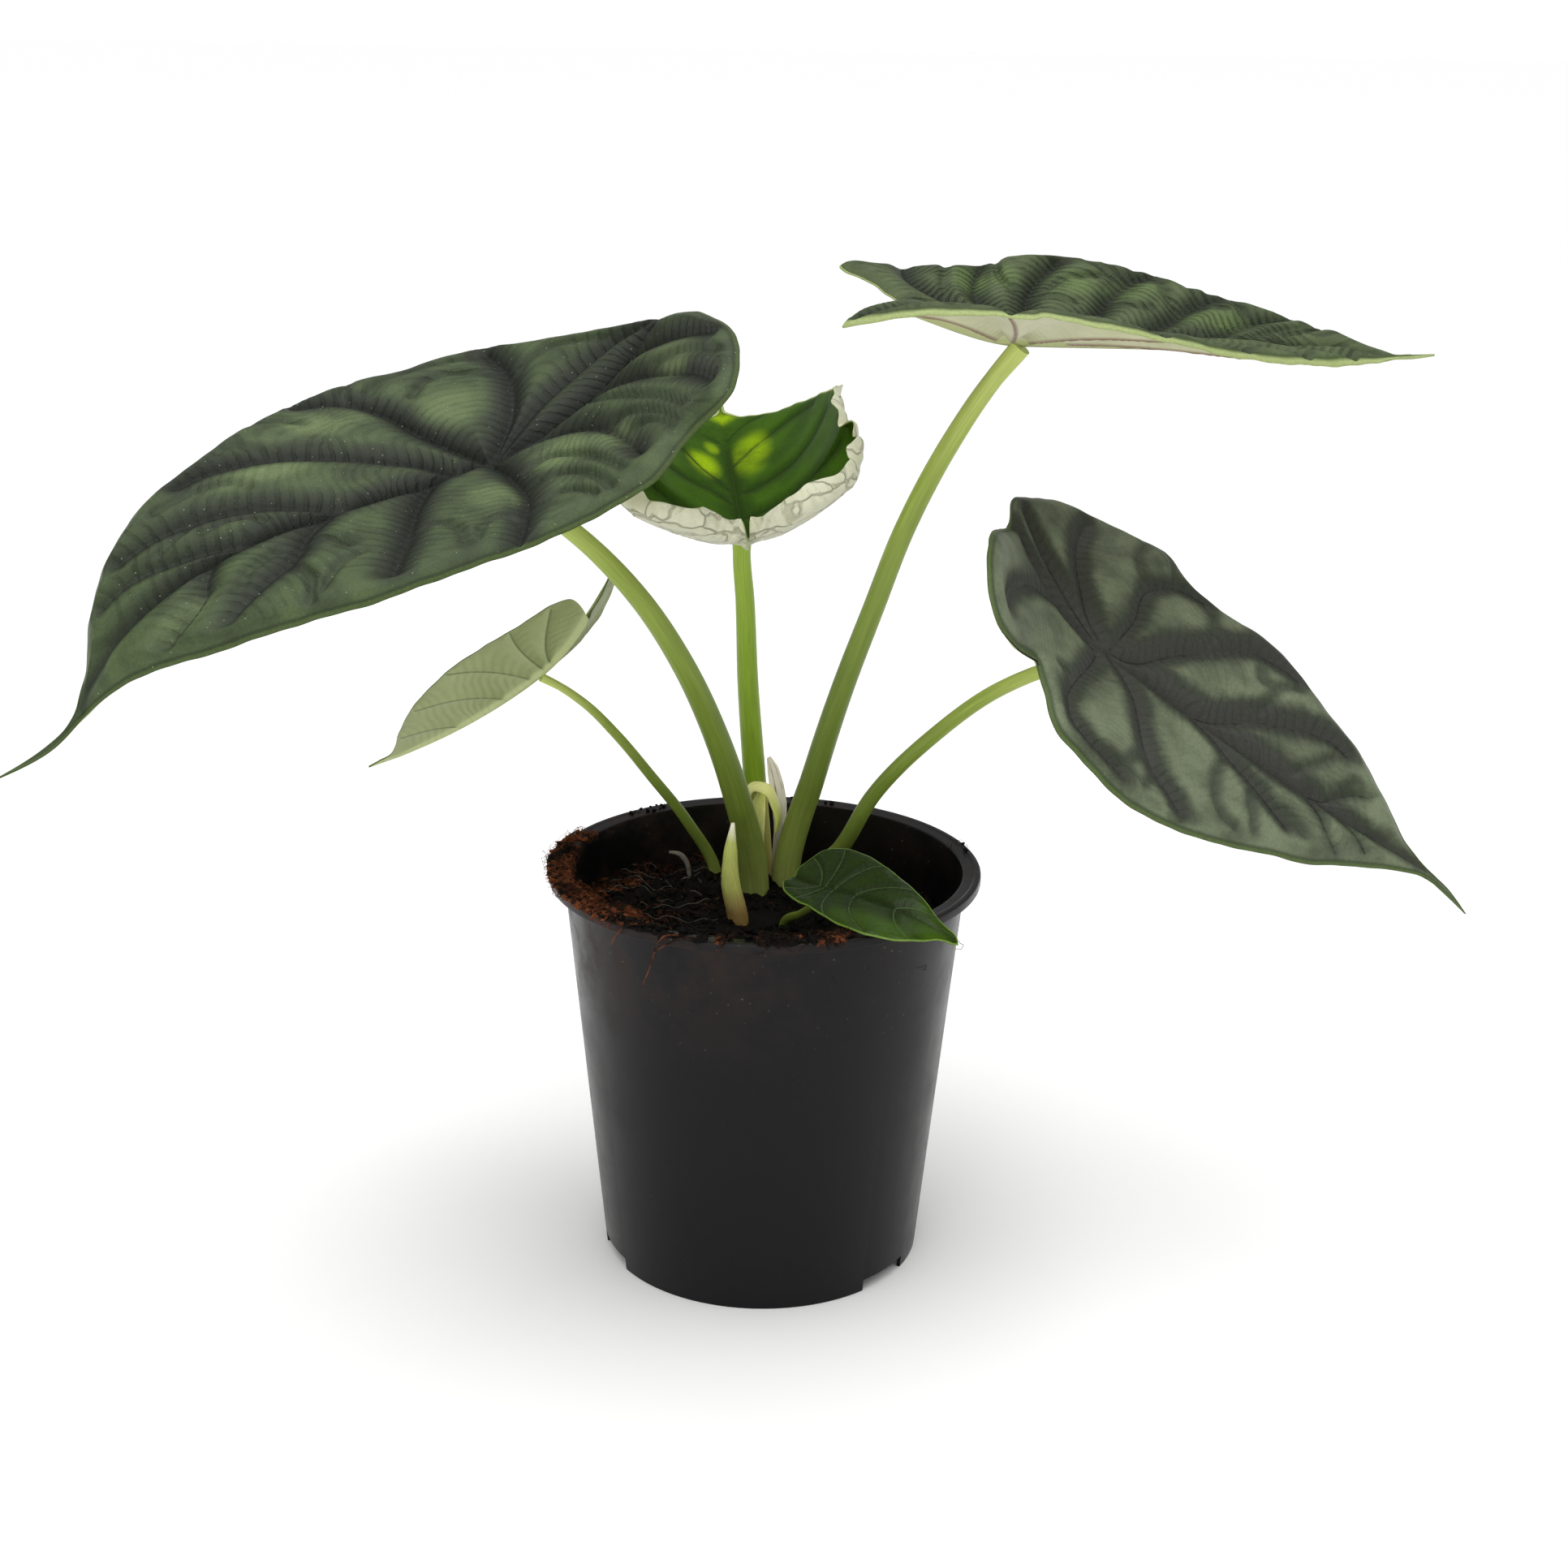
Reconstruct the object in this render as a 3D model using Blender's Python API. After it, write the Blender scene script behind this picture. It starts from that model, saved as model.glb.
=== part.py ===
"""Potted dragon scale alocasia in a plastic nursery pot.

The script builds in metres with +Z up and -Y to the front. The origin is on the floor, under the middle
of the whole plant's box. Sizes below are in millimetres and angles in degrees, and places are measured
from the middle of the pot's foot, which stands at POT_PLACE.
"""

import math
from dataclasses import dataclass

import bmesh
import bpy
import numpy as np
from mathutils import Matrix, Vector

MM = 0.001
POT_PLACE = (-4.9, -6.8, 0.0)

# Pot
POT_HEIGHT = 114.0
RIM_RADIUS = 60.0
RIM_INNER_RADIUS = 55.0
RIM_LIP = 2.6
WALL_TOP_RADIUS = 56.0
WALL_FOOT_RADIUS = 45.0
WALL = 1.0
FLOOR_RAISE = 3.8
FLOOR_THICKNESS = 1.2
RIM_EDGE = 0.4
FOOT_GAP_STARTS = (66.0, 190.0, 309.5)
FOOT_GAP_ANGLE = 22.5
FOOT_GAP_HEIGHT = 3.6
FOOT_GAP_REACH = 4.0
DRAIN_RADIUS = 4.0
DRAIN_CIRCLE = 27.0
DRAIN_COUNT = 6
DRAIN_SIDES = 16
POT_SIDES = 64
SHARP_ANGLE = 45.0

# Soil
GAP = 0.3
SOIL_LEVEL = 97.5
SOIL_HEAP = 13.0
SOIL_HEAP_AZIMUTH = 232.0
SOIL_DIP = 3.5
SOIL_FLAT_RADIUS = 22.0
SOIL_SLOPE = 30.0
SOIL_LUMPS = ((1.1, 0.31, 0.00, 0.9), (0.8, 0.53, -0.47, 0.0), (0.5, 0.83, 0.71, 2.9), (0.5, 0.10, 0.42, 0.4))
SOIL_SIDES = 48
SOIL_RINGS = 7
STEM_DEPTH = 9.0
HOLE_EXTRA = 0.6
HOLE_GAP = 0.4

# Blades
BLADE_THICKNESS = 0.8
KEEL = 0.9
VEIN_KEEL = 0.45
THIN_KEEL = 0.25
VEIN_BEND_ALONG = 0.2
VEIN_BEND_OUT = 0.72
PAD_EDGE = 0.25
PAD_ROUNDNESS = 0.6
PAD_FALL = 0.35
SINUS_PAD = 0.7
TIP_BASE = 0.97
AXIS_STEPS = 500
MARGIN_STEPS = 12
BLADE_COLUMNS = (0.0, 0.09, 0.28, 0.50, 0.73, 0.92, 1.0)
SMALL_COLUMNS = (0.0, 0.12, 0.4, 0.75, 1.0)
PAD_ROWS = (0.2, 0.5, 0.8, 1.0)
SMALL_PAD_ROWS = (0.3, 0.7, 1.0)
DRIP_ROWS = (0.33, 0.67, 1.0)
TUBE_SIDES = 10


@dataclass
class Leaf:
    """One blade with its petiole.

    The flat blade lies in x, from the drip tip at +x to the lobes at -x, and y, from the midrib out.
    Each outline runs from the tip round to the sinus between the lobes. A vein is its base on the
    midrib and its two ends on the left and right margins, all as parts of the front length if
    positive and of the lobe length if negative.
    """

    name: str
    joint: tuple
    heading: float
    pitch: float
    roll: float
    length: float
    lobe: float
    half_width: float
    left: tuple
    right: tuple
    sinus: float
    veins: tuple
    pad: float
    drip: float
    petiole: tuple
    radii: tuple
    droop: float = 0.0
    late_droop: float = 0.0
    lift: float = 0.0
    fold_left: float = 0.0
    fold_right: float = 0.0
    cup: float = 0.0
    twist: float = 0.0
    sway: float = 0.0
    lobe_sway: float = 0.0
    tip_fold: float = 0.6
    lobe_fold: tuple = (1.0, 1.0)
    lobe_ease: tuple = (1.0, 1.0)
    early_lift: float = 0.0
    drip_bend: float = 0.0
    lobe_twist: float = 0.0
    rows: tuple = PAD_ROWS
    columns: tuple = BLADE_COLUMNS


LEFT = Leaf(
    name="left", joint=(-70, -32, 230), heading=216, pitch=17.5, roll=-5, length=120.5, lobe=73,
    half_width=61,
    left=((116, 6), (106, 14), (94, 26), (77, 38), (60, 47), (41, 51), (21, 54), (3, 56.5), (-13, 60),
          (-29, 57), (-41, 61), (-51, 55.5), (-60, 44), (-65, 25), (-66, 9)),
    right=((114, 4), (104, 12.5), (91, 24), (75, 35), (61, 42), (46, 51), (32, 57.5), (17, 63), (3, 65),
           (-10, 63.5), (-23, 61.5), (-34, 55), (-44, 42), (-52, 28), (-58, 15), (-62, 6)),
    sinus=0.86,
    veins=((0.66, 0.84, 0.92), (0.42, 0.62, 0.80), (0.22, 0.42, 0.60), (0.08, 0.22, 0.40),
           (0.0, 0.03, 0.18), (-0.04, -0.42, -0.40), (-0.12, -0.88, -0.88)),
    pad=3.4, drip=26,
    petiole=((-3, 23, 98), (-9, 12, 132.5), (-14.5, 5.5, 151), (-22.5, -2.5, 171.5),
             (-33.5, -10.5, 191.5), (-45.5, -18, 207), (-59, -26, 220)),
    radii=(4.3, 3.8, 3.5, 3.2, 2.9, 2.6, 2.4),
    droop=49, late_droop=4.5, lift=36, fold_left=3, fold_right=5, cup=4, twist=-12, sway=-0.03,
    lobe_twist=12, drip_bend=-48,
)

RIGHT = Leaf(
    name="right", joint=(87, -21.5, 181.5), heading=-11.5, pitch=35, roll=28.5, length=101, lobe=45,
    half_width=46,
    left=((97, 4), (86, 12), (71, 23), (57, 30), (44, 37), (33, 40), (22, 40), (11, 42.5), (-1, 49),
          (-11, 47.5), (-20, 44), (-30, 36.5), (-38, 21.5), (-42, 8)),
    right=((97, 4), (90, 8), (82, 13.5), (74, 19.5), (65, 24), (48, 34.5), (30, 43), (19, 45.5),
           (7, 44.5), (-2, 43.5), (-9, 36), (-15, 32.5), (-22, 41), (-32, 48.5), (-39, 45), (-43, 32),
           (-41.5, 16), (-39.5, 5)),
    sinus=0.86,
    veins=((0.68, 0.91, 0.91), (0.36, 0.80, 0.78), (0.10, 0.64, 0.50), (0.02, 0.38, 0.21),
           (-0.04, -0.28, -0.45), (-0.12, -0.86, -0.88)),
    pad=2.0, drip=20,
    petiole=((10, 22, 98), (21.5, 15.5, 113.5), (30, 9, 131.5), (45.5, -0.5, 152), (62, -9.5, 168),
             (76, -16.5, 176.5)),
    radii=(2.6, 2.4, 2.2, 2.1, 2.0, 1.9),
    droop=-3, late_droop=0.5, lift=3, fold_left=1, fold_right=14, cup=-3, twist=16, sway=0.06,
    lobe_sway=0.49, lobe_twist=-16, drip_bend=25,
)

TOP_HALF = ((93, 5), (86, 10), (77, 15.5), (67, 22), (56, 28), (46, 33), (36, 38), (25, 41.5),
            (14, 43.5), (3, 43), (-9, 40), (-21, 38), (-32, 33), (-41, 29.5), (-48.5, 27), (-46, 22),
            (-41, 17), (-36, 8))
TOP = Leaf(
    name="top", joint=(65, 1, 259), heading=1, pitch=0.8, roll=6.5, length=97.5, lobe=47,
    half_width=43, left=TOP_HALF, right=TOP_HALF, sinus=0.69,
    veins=((0.66, 0.90, 0.90), (0.36, 0.76, 0.76), (0.12, 0.58, 0.58), (0.02, 0.34, 0.34),
           (-0.05, -0.25, -0.25), (-0.14, -1.03, -1.03)),
    pad=2.2, drip=11,
    petiole=((6, 30, 98), (14, 24.5, 133.5), (21, 20, 159), (29, 16, 183.5), (37, 11.5, 207.5),
             (47.5, 7, 230.5), (58.5, 3.5, 249)),
    radii=(4.0, 3.5, 3.2, 3.0, 2.85, 2.7, 2.5),
    droop=2, lift=20, early_lift=4, fold_left=12, fold_right=16, cup=12, twist=7,
    tip_fold=0.2, lobe_fold=(-0.75, -0.55), lobe_ease=(1.0, 3.0), lobe_twist=3, drip_bend=-10,
)

BACK_HALF = ((86, 4), (80, 9), (70, 19), (58, 29), (44, 38), (30, 44), (14, 46.5), (0, 47),
             (-12, 46), (-24, 43.5), (-35, 38), (-43.5, 28), (-44, 15), (-36, 5))
BACK = Leaf(
    name="back", joint=(-7.5, 23, 203.5), heading=95, pitch=-11, roll=-4, length=90, lobe=44,
    half_width=47, left=BACK_HALF, right=BACK_HALF, sinus=0.78,
    veins=((0.66, 0.90, 0.90), (0.36, 0.76, 0.76), (0.12, 0.56, 0.56), (0.02, 0.32, 0.32),
           (-0.05, -0.25, -0.25), (-0.14, -0.88, -0.88)),
    pad=2.2, drip=9,
    petiole=((-1, 36, 96), (-3.5, 32, 131), (-5.5, 29, 158.5), (-6.5, 26, 183), (-7.5, 24, 197)),
    radii=(3.3, 3.3, 3.0, 2.7, 2.5),
    droop=0, lift=50, fold_left=20, fold_right=21, cup=52, lobe_fold=(-0.3, 0.15), drip_bend=-60,
)

SMALL_LEFT_HALF = ((52, 5), (46, 10.5), (35, 17.5), (27, 20.5), (18, 22), (10, 22.5), (1, 21),
                   (-8, 19), (-17, 15.5), (-23.5, 12), (-27, 7.5), (-25, 2.5))
SMALL_LEFT = Leaf(
    name="small_left", joint=(-64, 22.5, 162), heading=161, pitch=40, roll=8, length=57, lobe=27,
    half_width=22, left=SMALL_LEFT_HALF,
    right=((52, 5), (46, 10.5), (35, 17.5), (27, 20.5), (18, 22), (8, 22.5), (-2, 21.5), (-12, 19.5),
           (-21, 17.5), (-30, 15), (-38, 11), (-31, 6), (-25, 2.5)),
    sinus=0.84,
    veins=((0.55, 0.84, 0.84), (0.24, 0.62, 0.62), (0.05, 0.30, 0.30), (-0.08, -0.35, -0.35),
           (-0.18, -0.86, -0.86)),
    pad=0.8, drip=9,
    petiole=((-14.5, 34.5, 98), (-23, 32, 115.5), (-33.5, 29, 130.5), (-42.5, 27, 142.5),
             (-51.5, 25, 152.5), (-58.5, 23.5, 158)),
    radii=(1.8, 1.6, 1.5, 1.4, 1.25, 1.15),
    droop=-15, lift=26, fold_left=33, fold_right=9, cup=4.5, twist=3.5,
    rows=SMALL_PAD_ROWS, columns=SMALL_COLUMNS,
)

SMALL_FRONT = Leaf(
    name="small_front", joint=(17.3, -27.6, 117), heading=-40, pitch=-2, roll=16, length=40, lobe=15,
    half_width=15,
    left=((35.5, 2.5), (31, 4.5), (28, 6), (21, 9), (13, 12), (6, 14), (0, 15.3), (-5, 15.2),
          (-10, 12.5), (-12.5, 7), (-13, 2.5)),
    right=((38, 3), (35, 7), (30, 11.5), (26, 14), (20, 15.5), (14, 15), (7, 13.5), (0, 11.5),
           (-6, 9.5), (-11, 6.5), (-13, 2.5)),
    sinus=0.8,
    veins=((0.55, 0.82, 0.82), (0.22, 0.58, 0.58), (0.04, 0.25, 0.25), (-0.10, -0.35, -0.30),
           (-0.22, -0.80, -0.70)),
    pad=0.5, drip=2,
    petiole=((5.5, -4.3, 98), (10, -12, 104), (14, -20, 110)),
    radii=(1.3, 1.15, 1.05),
    droop=26, late_droop=2, lift=14, fold_left=10, fold_right=12,
    rows=SMALL_PAD_ROWS, columns=SMALL_COLUMNS,
)

LEAVES = (LEFT, RIGHT, TOP, BACK, SMALL_LEFT, SMALL_FRONT)

# New shoot and the old leaf bases round the back petiole, flattened strands as deep as their depth says
SHOOT_PATH = ((-7.5, 0, 98), (-9.5, 0, 108), (-9.6, 0, 118), (-9, 0, 126))
SHOOT_RADII = (3.0, 2.7, 1.9, 0.5)
PALE_SHEATH_PATH = ((0, 30, 98), (-3, 28.8, 108), (-5.6, 27.4, 117), (-5.9, 26.8, 123.5), (-3.6, 26.8, 127.8),
                    (0.2, 26.8, 127), (2.6, 26.5, 122.6), (3.6, 26.3, 118.6), (3.1, 26.2, 114.4))
PALE_SHEATH_RADII = (1.1, 1.1, 1.2, 1.5, 2.1, 2.5, 2.2, 1.8, 0.9)
DRY_SHEATH_PATH = ((2.2, 33.2, 98), (3.2, 32.4, 108), (4.1, 31.5, 114), (4.0, 31, 120.6), (3.1, 31, 126.4),
                   (1.9, 31, 131.8), (0.7, 31, 135.4))
DRY_SHEATH_RADII = (0.6, 0.9, 1.6, 2.0, 1.9, 1.5, 0.9)
PALE_SHEATH_DEPTH = 0.36
DRY_SHEATH_DEPTH = 0.34


def clear_scene():
    for thing in list(bpy.data.objects):
        bpy.data.objects.remove(thing, do_unlink=True)


def make_material(name, colour, roughness, metallic=0.0):
    material = bpy.data.materials.new(name)
    material.use_nodes = True
    shader = material.node_tree.nodes["Principled BSDF"]
    shader.inputs["Base Color"].default_value = (*colour, 1.0)
    shader.inputs["Roughness"].default_value = roughness
    shader.inputs["Metallic"].default_value = metallic
    return material


def add_object(name, mesh, material):
    """Put a mesh in the scene, at the pot's place, smooth but for its sharp edges."""
    mesh.transform(Matrix.Translation(Vector(POT_PLACE) * MM))
    mesh.shade_smooth()
    mesh.set_sharp_from_angle(angle=math.radians(SHARP_ANGLE))
    mesh.materials.append(material)
    thing = bpy.data.objects.new(name, mesh)
    bpy.context.scene.collection.objects.link(thing)
    return thing


def make_object(name, points, faces, material):
    """Make a mesh object from points in millimetres."""
    mesh = bpy.data.meshes.new(name)
    mesh.from_pydata([tuple(float(v) * MM for v in point) for point in points], [], faces)
    shape = bmesh.new()
    shape.from_mesh(mesh)
    bmesh.ops.recalc_face_normals(shape, faces=shape.faces)
    shape.to_mesh(mesh)
    shape.free()
    return add_object(name, mesh, material)


def smooth_curve(points, per_span):
    """Pass a smooth curve through uneven points."""
    points = np.asarray(points, float)
    knots = np.concatenate([[0.0], np.cumsum(np.linalg.norm(np.diff(points, axis=0), axis=1))])
    slopes = np.gradient(points, knots, axis=0)
    curve = []
    for start in range(len(points) - 1):
        span = knots[start + 1] - knots[start]
        t = np.linspace(0.0, 1.0, per_span, endpoint=False)[:, None]
        curve.append((2 * t**3 - 3 * t**2 + 1) * points[start]
                     + (t**3 - 2 * t**2 + t) * span * slopes[start]
                     + (3 * t**2 - 2 * t**3) * points[start + 1]
                     + (t**3 - t**2) * span * slopes[start + 1])
    return np.vstack(curve + [points[-1:]])


def turn(first, second, degrees):
    """Turn a pair of coordinates by an angle."""
    angle = np.radians(degrees)
    return (first * np.cos(angle) - second * np.sin(angle),
            first * np.sin(angle) + second * np.cos(angle))


def blade_axis(leaf, x):
    """Give the midrib's slope angle and its run and height at distances x from the joint."""
    track = np.linspace(-1.6 * leaf.lobe, 1.3 * leaf.length, AXIS_STEPS)
    late = 1.0 + leaf.late_droop * (track / leaf.length - 0.5)
    early = (1.0 + leaf.early_lift) * np.clip(1.0 + track / leaf.lobe, 0.0, 1.0)**leaf.early_lift
    bend = np.where(track > 0, -np.radians(leaf.droop) / leaf.length * late,
                    np.radians(leaf.lift) / leaf.lobe * early)
    left_over = np.clip(1.0 - (track - leaf.length) / leaf.drip, 0.0, 1.0)
    bend = np.where(track > leaf.length, -2.0 * np.radians(leaf.drip_bend) / leaf.drip * left_over, bend)
    step = track[1] - track[0]
    angle = np.concatenate([[0.0], np.cumsum(0.5 * (bend[1:] + bend[:-1]) * step)])
    angle -= np.interp(0.0, track, angle)
    runs = []
    for part in (np.cos(angle), np.sin(angle)):
        total = np.concatenate([[0.0], np.cumsum(0.5 * (part[1:] + part[:-1]) * step)])
        runs.append(total - np.interp(0.0, track, total))
    return np.interp(x, track, angle), np.interp(x, track, runs[0]), np.interp(x, track, runs[1])


def place(leaf, side, x, y):
    """Carry points of the flat blade to their place in space, side +1 left and -1 right."""
    angle, run, height = blade_axis(leaf, x)
    part = np.where(x > 0, x / leaf.length, x / leaf.lobe)
    fold = np.radians(leaf.fold_left if side > 0 else leaf.fold_right)
    half = 0 if side > 0 else 1
    fold = fold * np.where(x > 0, 1.0 - (1.0 - leaf.tip_fold) * np.minimum(part, 1.0),
                           1.0 - (1.0 - leaf.lobe_fold[half]) * np.clip(-part, 0, None)**leaf.lobe_ease[half])
    reach = np.linspace(0.0, 1.0, 16)
    slope = fold[..., None] + np.radians(leaf.cup) * reach * (y / leaf.half_width)[..., None]
    out = side * y * np.cos(slope).mean(axis=-1)
    rise = y * np.sin(slope).mean(axis=-1)
    roll_over = np.where(x > 0, leaf.twist * np.minimum(part, 1.0), -leaf.lobe_twist * part)
    out, rise = turn(out, rise, roll_over)
    out = out + leaf.sway * leaf.length * np.clip(part, 0, None)**2
    out = out + leaf.lobe_sway * leaf.lobe * np.clip(-part, 0, None)**2
    along = run - np.sin(angle) * rise
    up = height + np.cos(angle) * rise
    out, up = turn(out, up, leaf.roll)
    along, up = turn(along, up, -leaf.pitch)
    along, out = turn(along, out, leaf.heading)
    return np.stack([along, out, up], axis=-1) + np.asarray(leaf.joint, float)


def blade_normals(leaf, side, x, y):
    """Give the blade's upward normals at points of the flat blade."""
    step = 0.4
    along = place(leaf, side, x + step, y) - place(leaf, side, x - step, y)
    across = place(leaf, side, x, y + step) - place(leaf, side, x, y)
    normal = np.cross(along, across * side)
    return normal / np.linalg.norm(normal, axis=-1, keepdims=True)


def midrib_normals(leaf, x):
    y = np.zeros_like(x)
    normal = blade_normals(leaf, 1, x, y) + blade_normals(leaf, -1, x, y)
    return normal / np.linalg.norm(normal, axis=-1, keepdims=True)


def margin_curve(leaf, side):
    """Trace one half's margin from the end of the drip tip to the sinus, with its arc lengths."""
    drip = [(leaf.length + leaf.drip, 0.0), (leaf.length + 0.55 * leaf.drip, 0.9),
            (leaf.length + 0.1 * leaf.drip, 1.5)]
    outline = leaf.left if side > 0 else leaf.right
    curve = smooth_curve(drip + list(outline) + [(-leaf.sinus * leaf.lobe, 0.0)], MARGIN_STEPS)
    curve[:, 1] = np.maximum(curve[:, 1], 0.0)
    arc = np.concatenate([[0.0], np.cumsum(np.linalg.norm(np.diff(curve, axis=0), axis=1))])
    return curve, arc


def midrib_x(leaf, part):
    return part * (leaf.length if part > 0 else leaf.lobe)


def blade_rows(leaf):
    """List the rows: base on the midrib, arc length on each margin, place in the pad, pad height."""
    curves = [margin_curve(leaf, side) for side in (1, -1)]

    def arc_at(curve, arc, x):
        return arc[np.argmax(curve[:, 0] <= max(x, curve[:, 0].min()))]

    start = TIP_BASE * leaf.length
    stops = [(leaf.length + leaf.drip, 0.0, 0.0, 0.0)]
    stops.append((leaf.length, *(arc_at(*pair, start) for pair in curves), 0.0))
    for base, *ends in leaf.veins:
        arcs = [arc_at(*pair, midrib_x(leaf, end)) for pair, end in zip(curves, ends)]
        stops.append((midrib_x(leaf, base), *arcs, 1.0))
    stops.append((-leaf.sinus * leaf.lobe, curves[0][1][-1], curves[1][1][-1], SINUS_PAD))
    rows = [(*stops[0][:3], 0.0, 0.0)]
    for before, after in zip(stops, stops[1:]):
        for t in DRIP_ROWS if before is stops[0] else leaf.rows:
            mixed = [a + (b - a) * t for a, b in zip(before[:3], after[:3])]
            rows.append((*mixed, t, after[3]))
    return rows, curves


def pad_height(leaf, t, v, amount):
    """Raise each pad between two veins, flat on top and steep at the veins."""
    between = np.sin(np.pi * t)**PAD_ROUNDNESS if 0.0 < t < 1.0 else 0.0
    inner = np.clip(v / PAD_EDGE, 0, 1)
    outer = np.clip((1.0 - v) / PAD_EDGE, 0, 1)
    across = (inner * (2 - inner)) * (outer * (2 - outer))
    return leaf.pad * amount * between * across * (1.0 - PAD_FALL * v)


def blade_grid(leaf):
    """Give the blade's upper and lower points, by row, from the left margin over the midrib to the right."""
    rows, curves = blade_rows(leaf)
    v = np.asarray(leaf.columns)
    upper = []
    lower = []
    for base, left_arc, right_arc, t, amount in rows:
        halves = []
        for side, (curve, arc), at in zip((1, -1), curves, (left_arc, right_arc)):
            end = np.array([np.interp(at, arc, curve[:, axis]) for axis in (0, 1)])
            bend = (base + VEIN_BEND_ALONG * (end[0] - base), VEIN_BEND_OUT * end[1])
            x = (1 - v)**2 * base + 2 * v * (1 - v) * bend[0] + v**2 * end[0]
            y = 2 * v * (1 - v) * bend[1] + v**2 * end[1]
            point = place(leaf, side, x, y)
            normal = blade_normals(leaf, side, x, y)
            normal[0] = midrib_normals(leaf, x[:1])[0]
            height = pad_height(leaf, t, v, amount)
            taper = np.clip(1.1 - base / leaf.length, THIN_KEEL, 1.0)
            keel = np.where(v == 0, KEEL * taper, 0.0)
            if t in (0.0, 1.0):
                keel = np.maximum(keel, VEIN_KEEL * taper * np.clip(1.0 - v * 1.1, 0, 1))
            top = point + normal * (height + BLADE_THICKNESS / 2)[:, None]
            bottom = point + normal * (height - BLADE_THICKNESS / 2 - keel)[:, None]
            halves.append((top, bottom))
        upper.append(np.vstack([halves[0][0][:0:-1], halves[1][0]]))
        lower.append(np.vstack([halves[0][1][:0:-1], halves[1][1]]))
    return np.array(upper), np.array(lower)


def sheet_faces(count, width, offset, tip, sinus):
    """Split a sheet's quads into triangles, with single points at the tip and the sinus."""
    faces = []

    def index(row, column):
        if row == 0:
            return tip
        if row == count - 1:
            return sinus
        return offset + (row - 1) * width + column

    for row in range(count - 1):
        for column in range(width - 1):
            corners = [index(row, column), index(row + 1, column), index(row + 1, column + 1),
                       index(row, column + 1)]
            for triangle in (corners[:3], [corners[0], corners[2], corners[3]]):
                if len(set(triangle)) == 3:
                    faces.append(tuple(triangle))
    return faces


def make_blade(leaf, material):
    upper, lower = blade_grid(leaf)
    count, width = upper.shape[:2]
    middle = width // 2
    inner = (count - 2) * width
    points = []
    for sheet in (upper, lower):
        points += [*sheet[1:-1].reshape(-1, 3), sheet[0, middle], sheet[-1, middle]]
    size = inner + 2
    top = sheet_faces(count, width, 0, inner, inner + 1)
    faces = top + [tuple(size + corner for corner in reversed(face)) for face in top]
    for column in (0, width - 1):
        edge = [inner] + [row * width + column for row in range(count - 2)] + [inner + 1]
        for here, there in zip(edge, edge[1:]):
            faces.append((here, there, there + size))
            faces.append((here, there + size, here + size))
    return make_object("blade_" + leaf.name, points, faces, material)


def make_tube(name, path, radii, material, sides=TUBE_SIDES, per_span=3, end_normal=None, depth=1.0):
    """Sweep a round or flattened stem along a smooth path, with flat ends, the last one square or given."""
    line = smooth_curve(path, per_span)
    knots = np.linspace(0.0, 1.0, len(radii))
    widths = np.interp(np.linspace(0.0, 1.0, len(line)), knots, radii)
    tangents = np.gradient(line, axis=0)
    tangents /= np.linalg.norm(tangents, axis=1, keepdims=True)
    side = np.cross(tangents[0], (0.0, 1.0, 0.0))
    points = []
    for centre, tangent, radius in zip(line, tangents, widths):
        side = side - tangent * np.dot(side, tangent)
        side = side / np.linalg.norm(side)
        other = np.cross(tangent, side)
        for step in range(sides):
            angle = 2 * math.pi * step / sides
            points.append(centre + radius * (math.cos(angle) * side + depth * math.sin(angle) * other))
    if end_normal is not None:
        for step in range(-sides, 0):
            off = np.dot(points[step] - line[-1], end_normal) / np.dot(tangents[-1], end_normal)
            points[step] = points[step] - tangents[-1] * off
    faces = []
    for ring in range(len(line) - 1):
        for step in range(sides):
            here = ring * sides + step
            there = ring * sides + (step + 1) % sides
            faces.append((here, there, there + sides, here + sides))
    faces.append(tuple(range(sides))[::-1])
    last = (len(line) - 1) * sides
    faces.append(tuple(range(last, last + sides)))
    return make_object(name, points, faces, material)


def joint_normal(leaf):
    return midrib_normals(leaf, np.array([0.0]))[0]


def petiole_path(leaf):
    """Run from below the soil to just under the blade."""
    joint = np.asarray(leaf.joint, float)
    clear = BLADE_THICKNESS / 2 + KEEL + GAP
    end = joint - joint_normal(leaf) * (clear + 0.1)
    route = [np.asarray(point, float) for point in leaf.petiole]
    foot = route[0] - (0.0, 0.0, STEM_DEPTH)
    return [foot] + route + [end]


def make_petiole(leaf, material):
    radii = (leaf.radii[0],) + leaf.radii + (leaf.radii[-1],)
    return make_tube("petiole_" + leaf.name, petiole_path(leaf), radii, material,
                     end_normal=joint_normal(leaf))


def wall_radius(z):
    return WALL_FOOT_RADIUS + (WALL_TOP_RADIUS - WALL_FOOT_RADIUS) * z / POT_HEIGHT


def as_cutter(thing):
    thing.hide_render = True
    thing.display_type = "WIRE"
    return thing


def cut(thing, cutters):
    """Cut the cutters out of a body and remove them."""
    for cutter in cutters:
        modifier = thing.modifiers.new("cut", "BOOLEAN")
        modifier.operation = "DIFFERENCE"
        modifier.solver = "EXACT"
        modifier.object = cutter
    bpy.context.view_layer.update()
    graph = bpy.context.evaluated_depsgraph_get()
    mesh = bpy.data.meshes.new_from_object(thing.evaluated_get(graph))
    thing.modifiers.clear()
    thing.data = mesh
    mesh.shade_smooth()
    mesh.set_sharp_from_angle(angle=math.radians(SHARP_ANGLE))
    for cutter in cutters:
        bpy.data.objects.remove(cutter, do_unlink=True)


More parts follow.
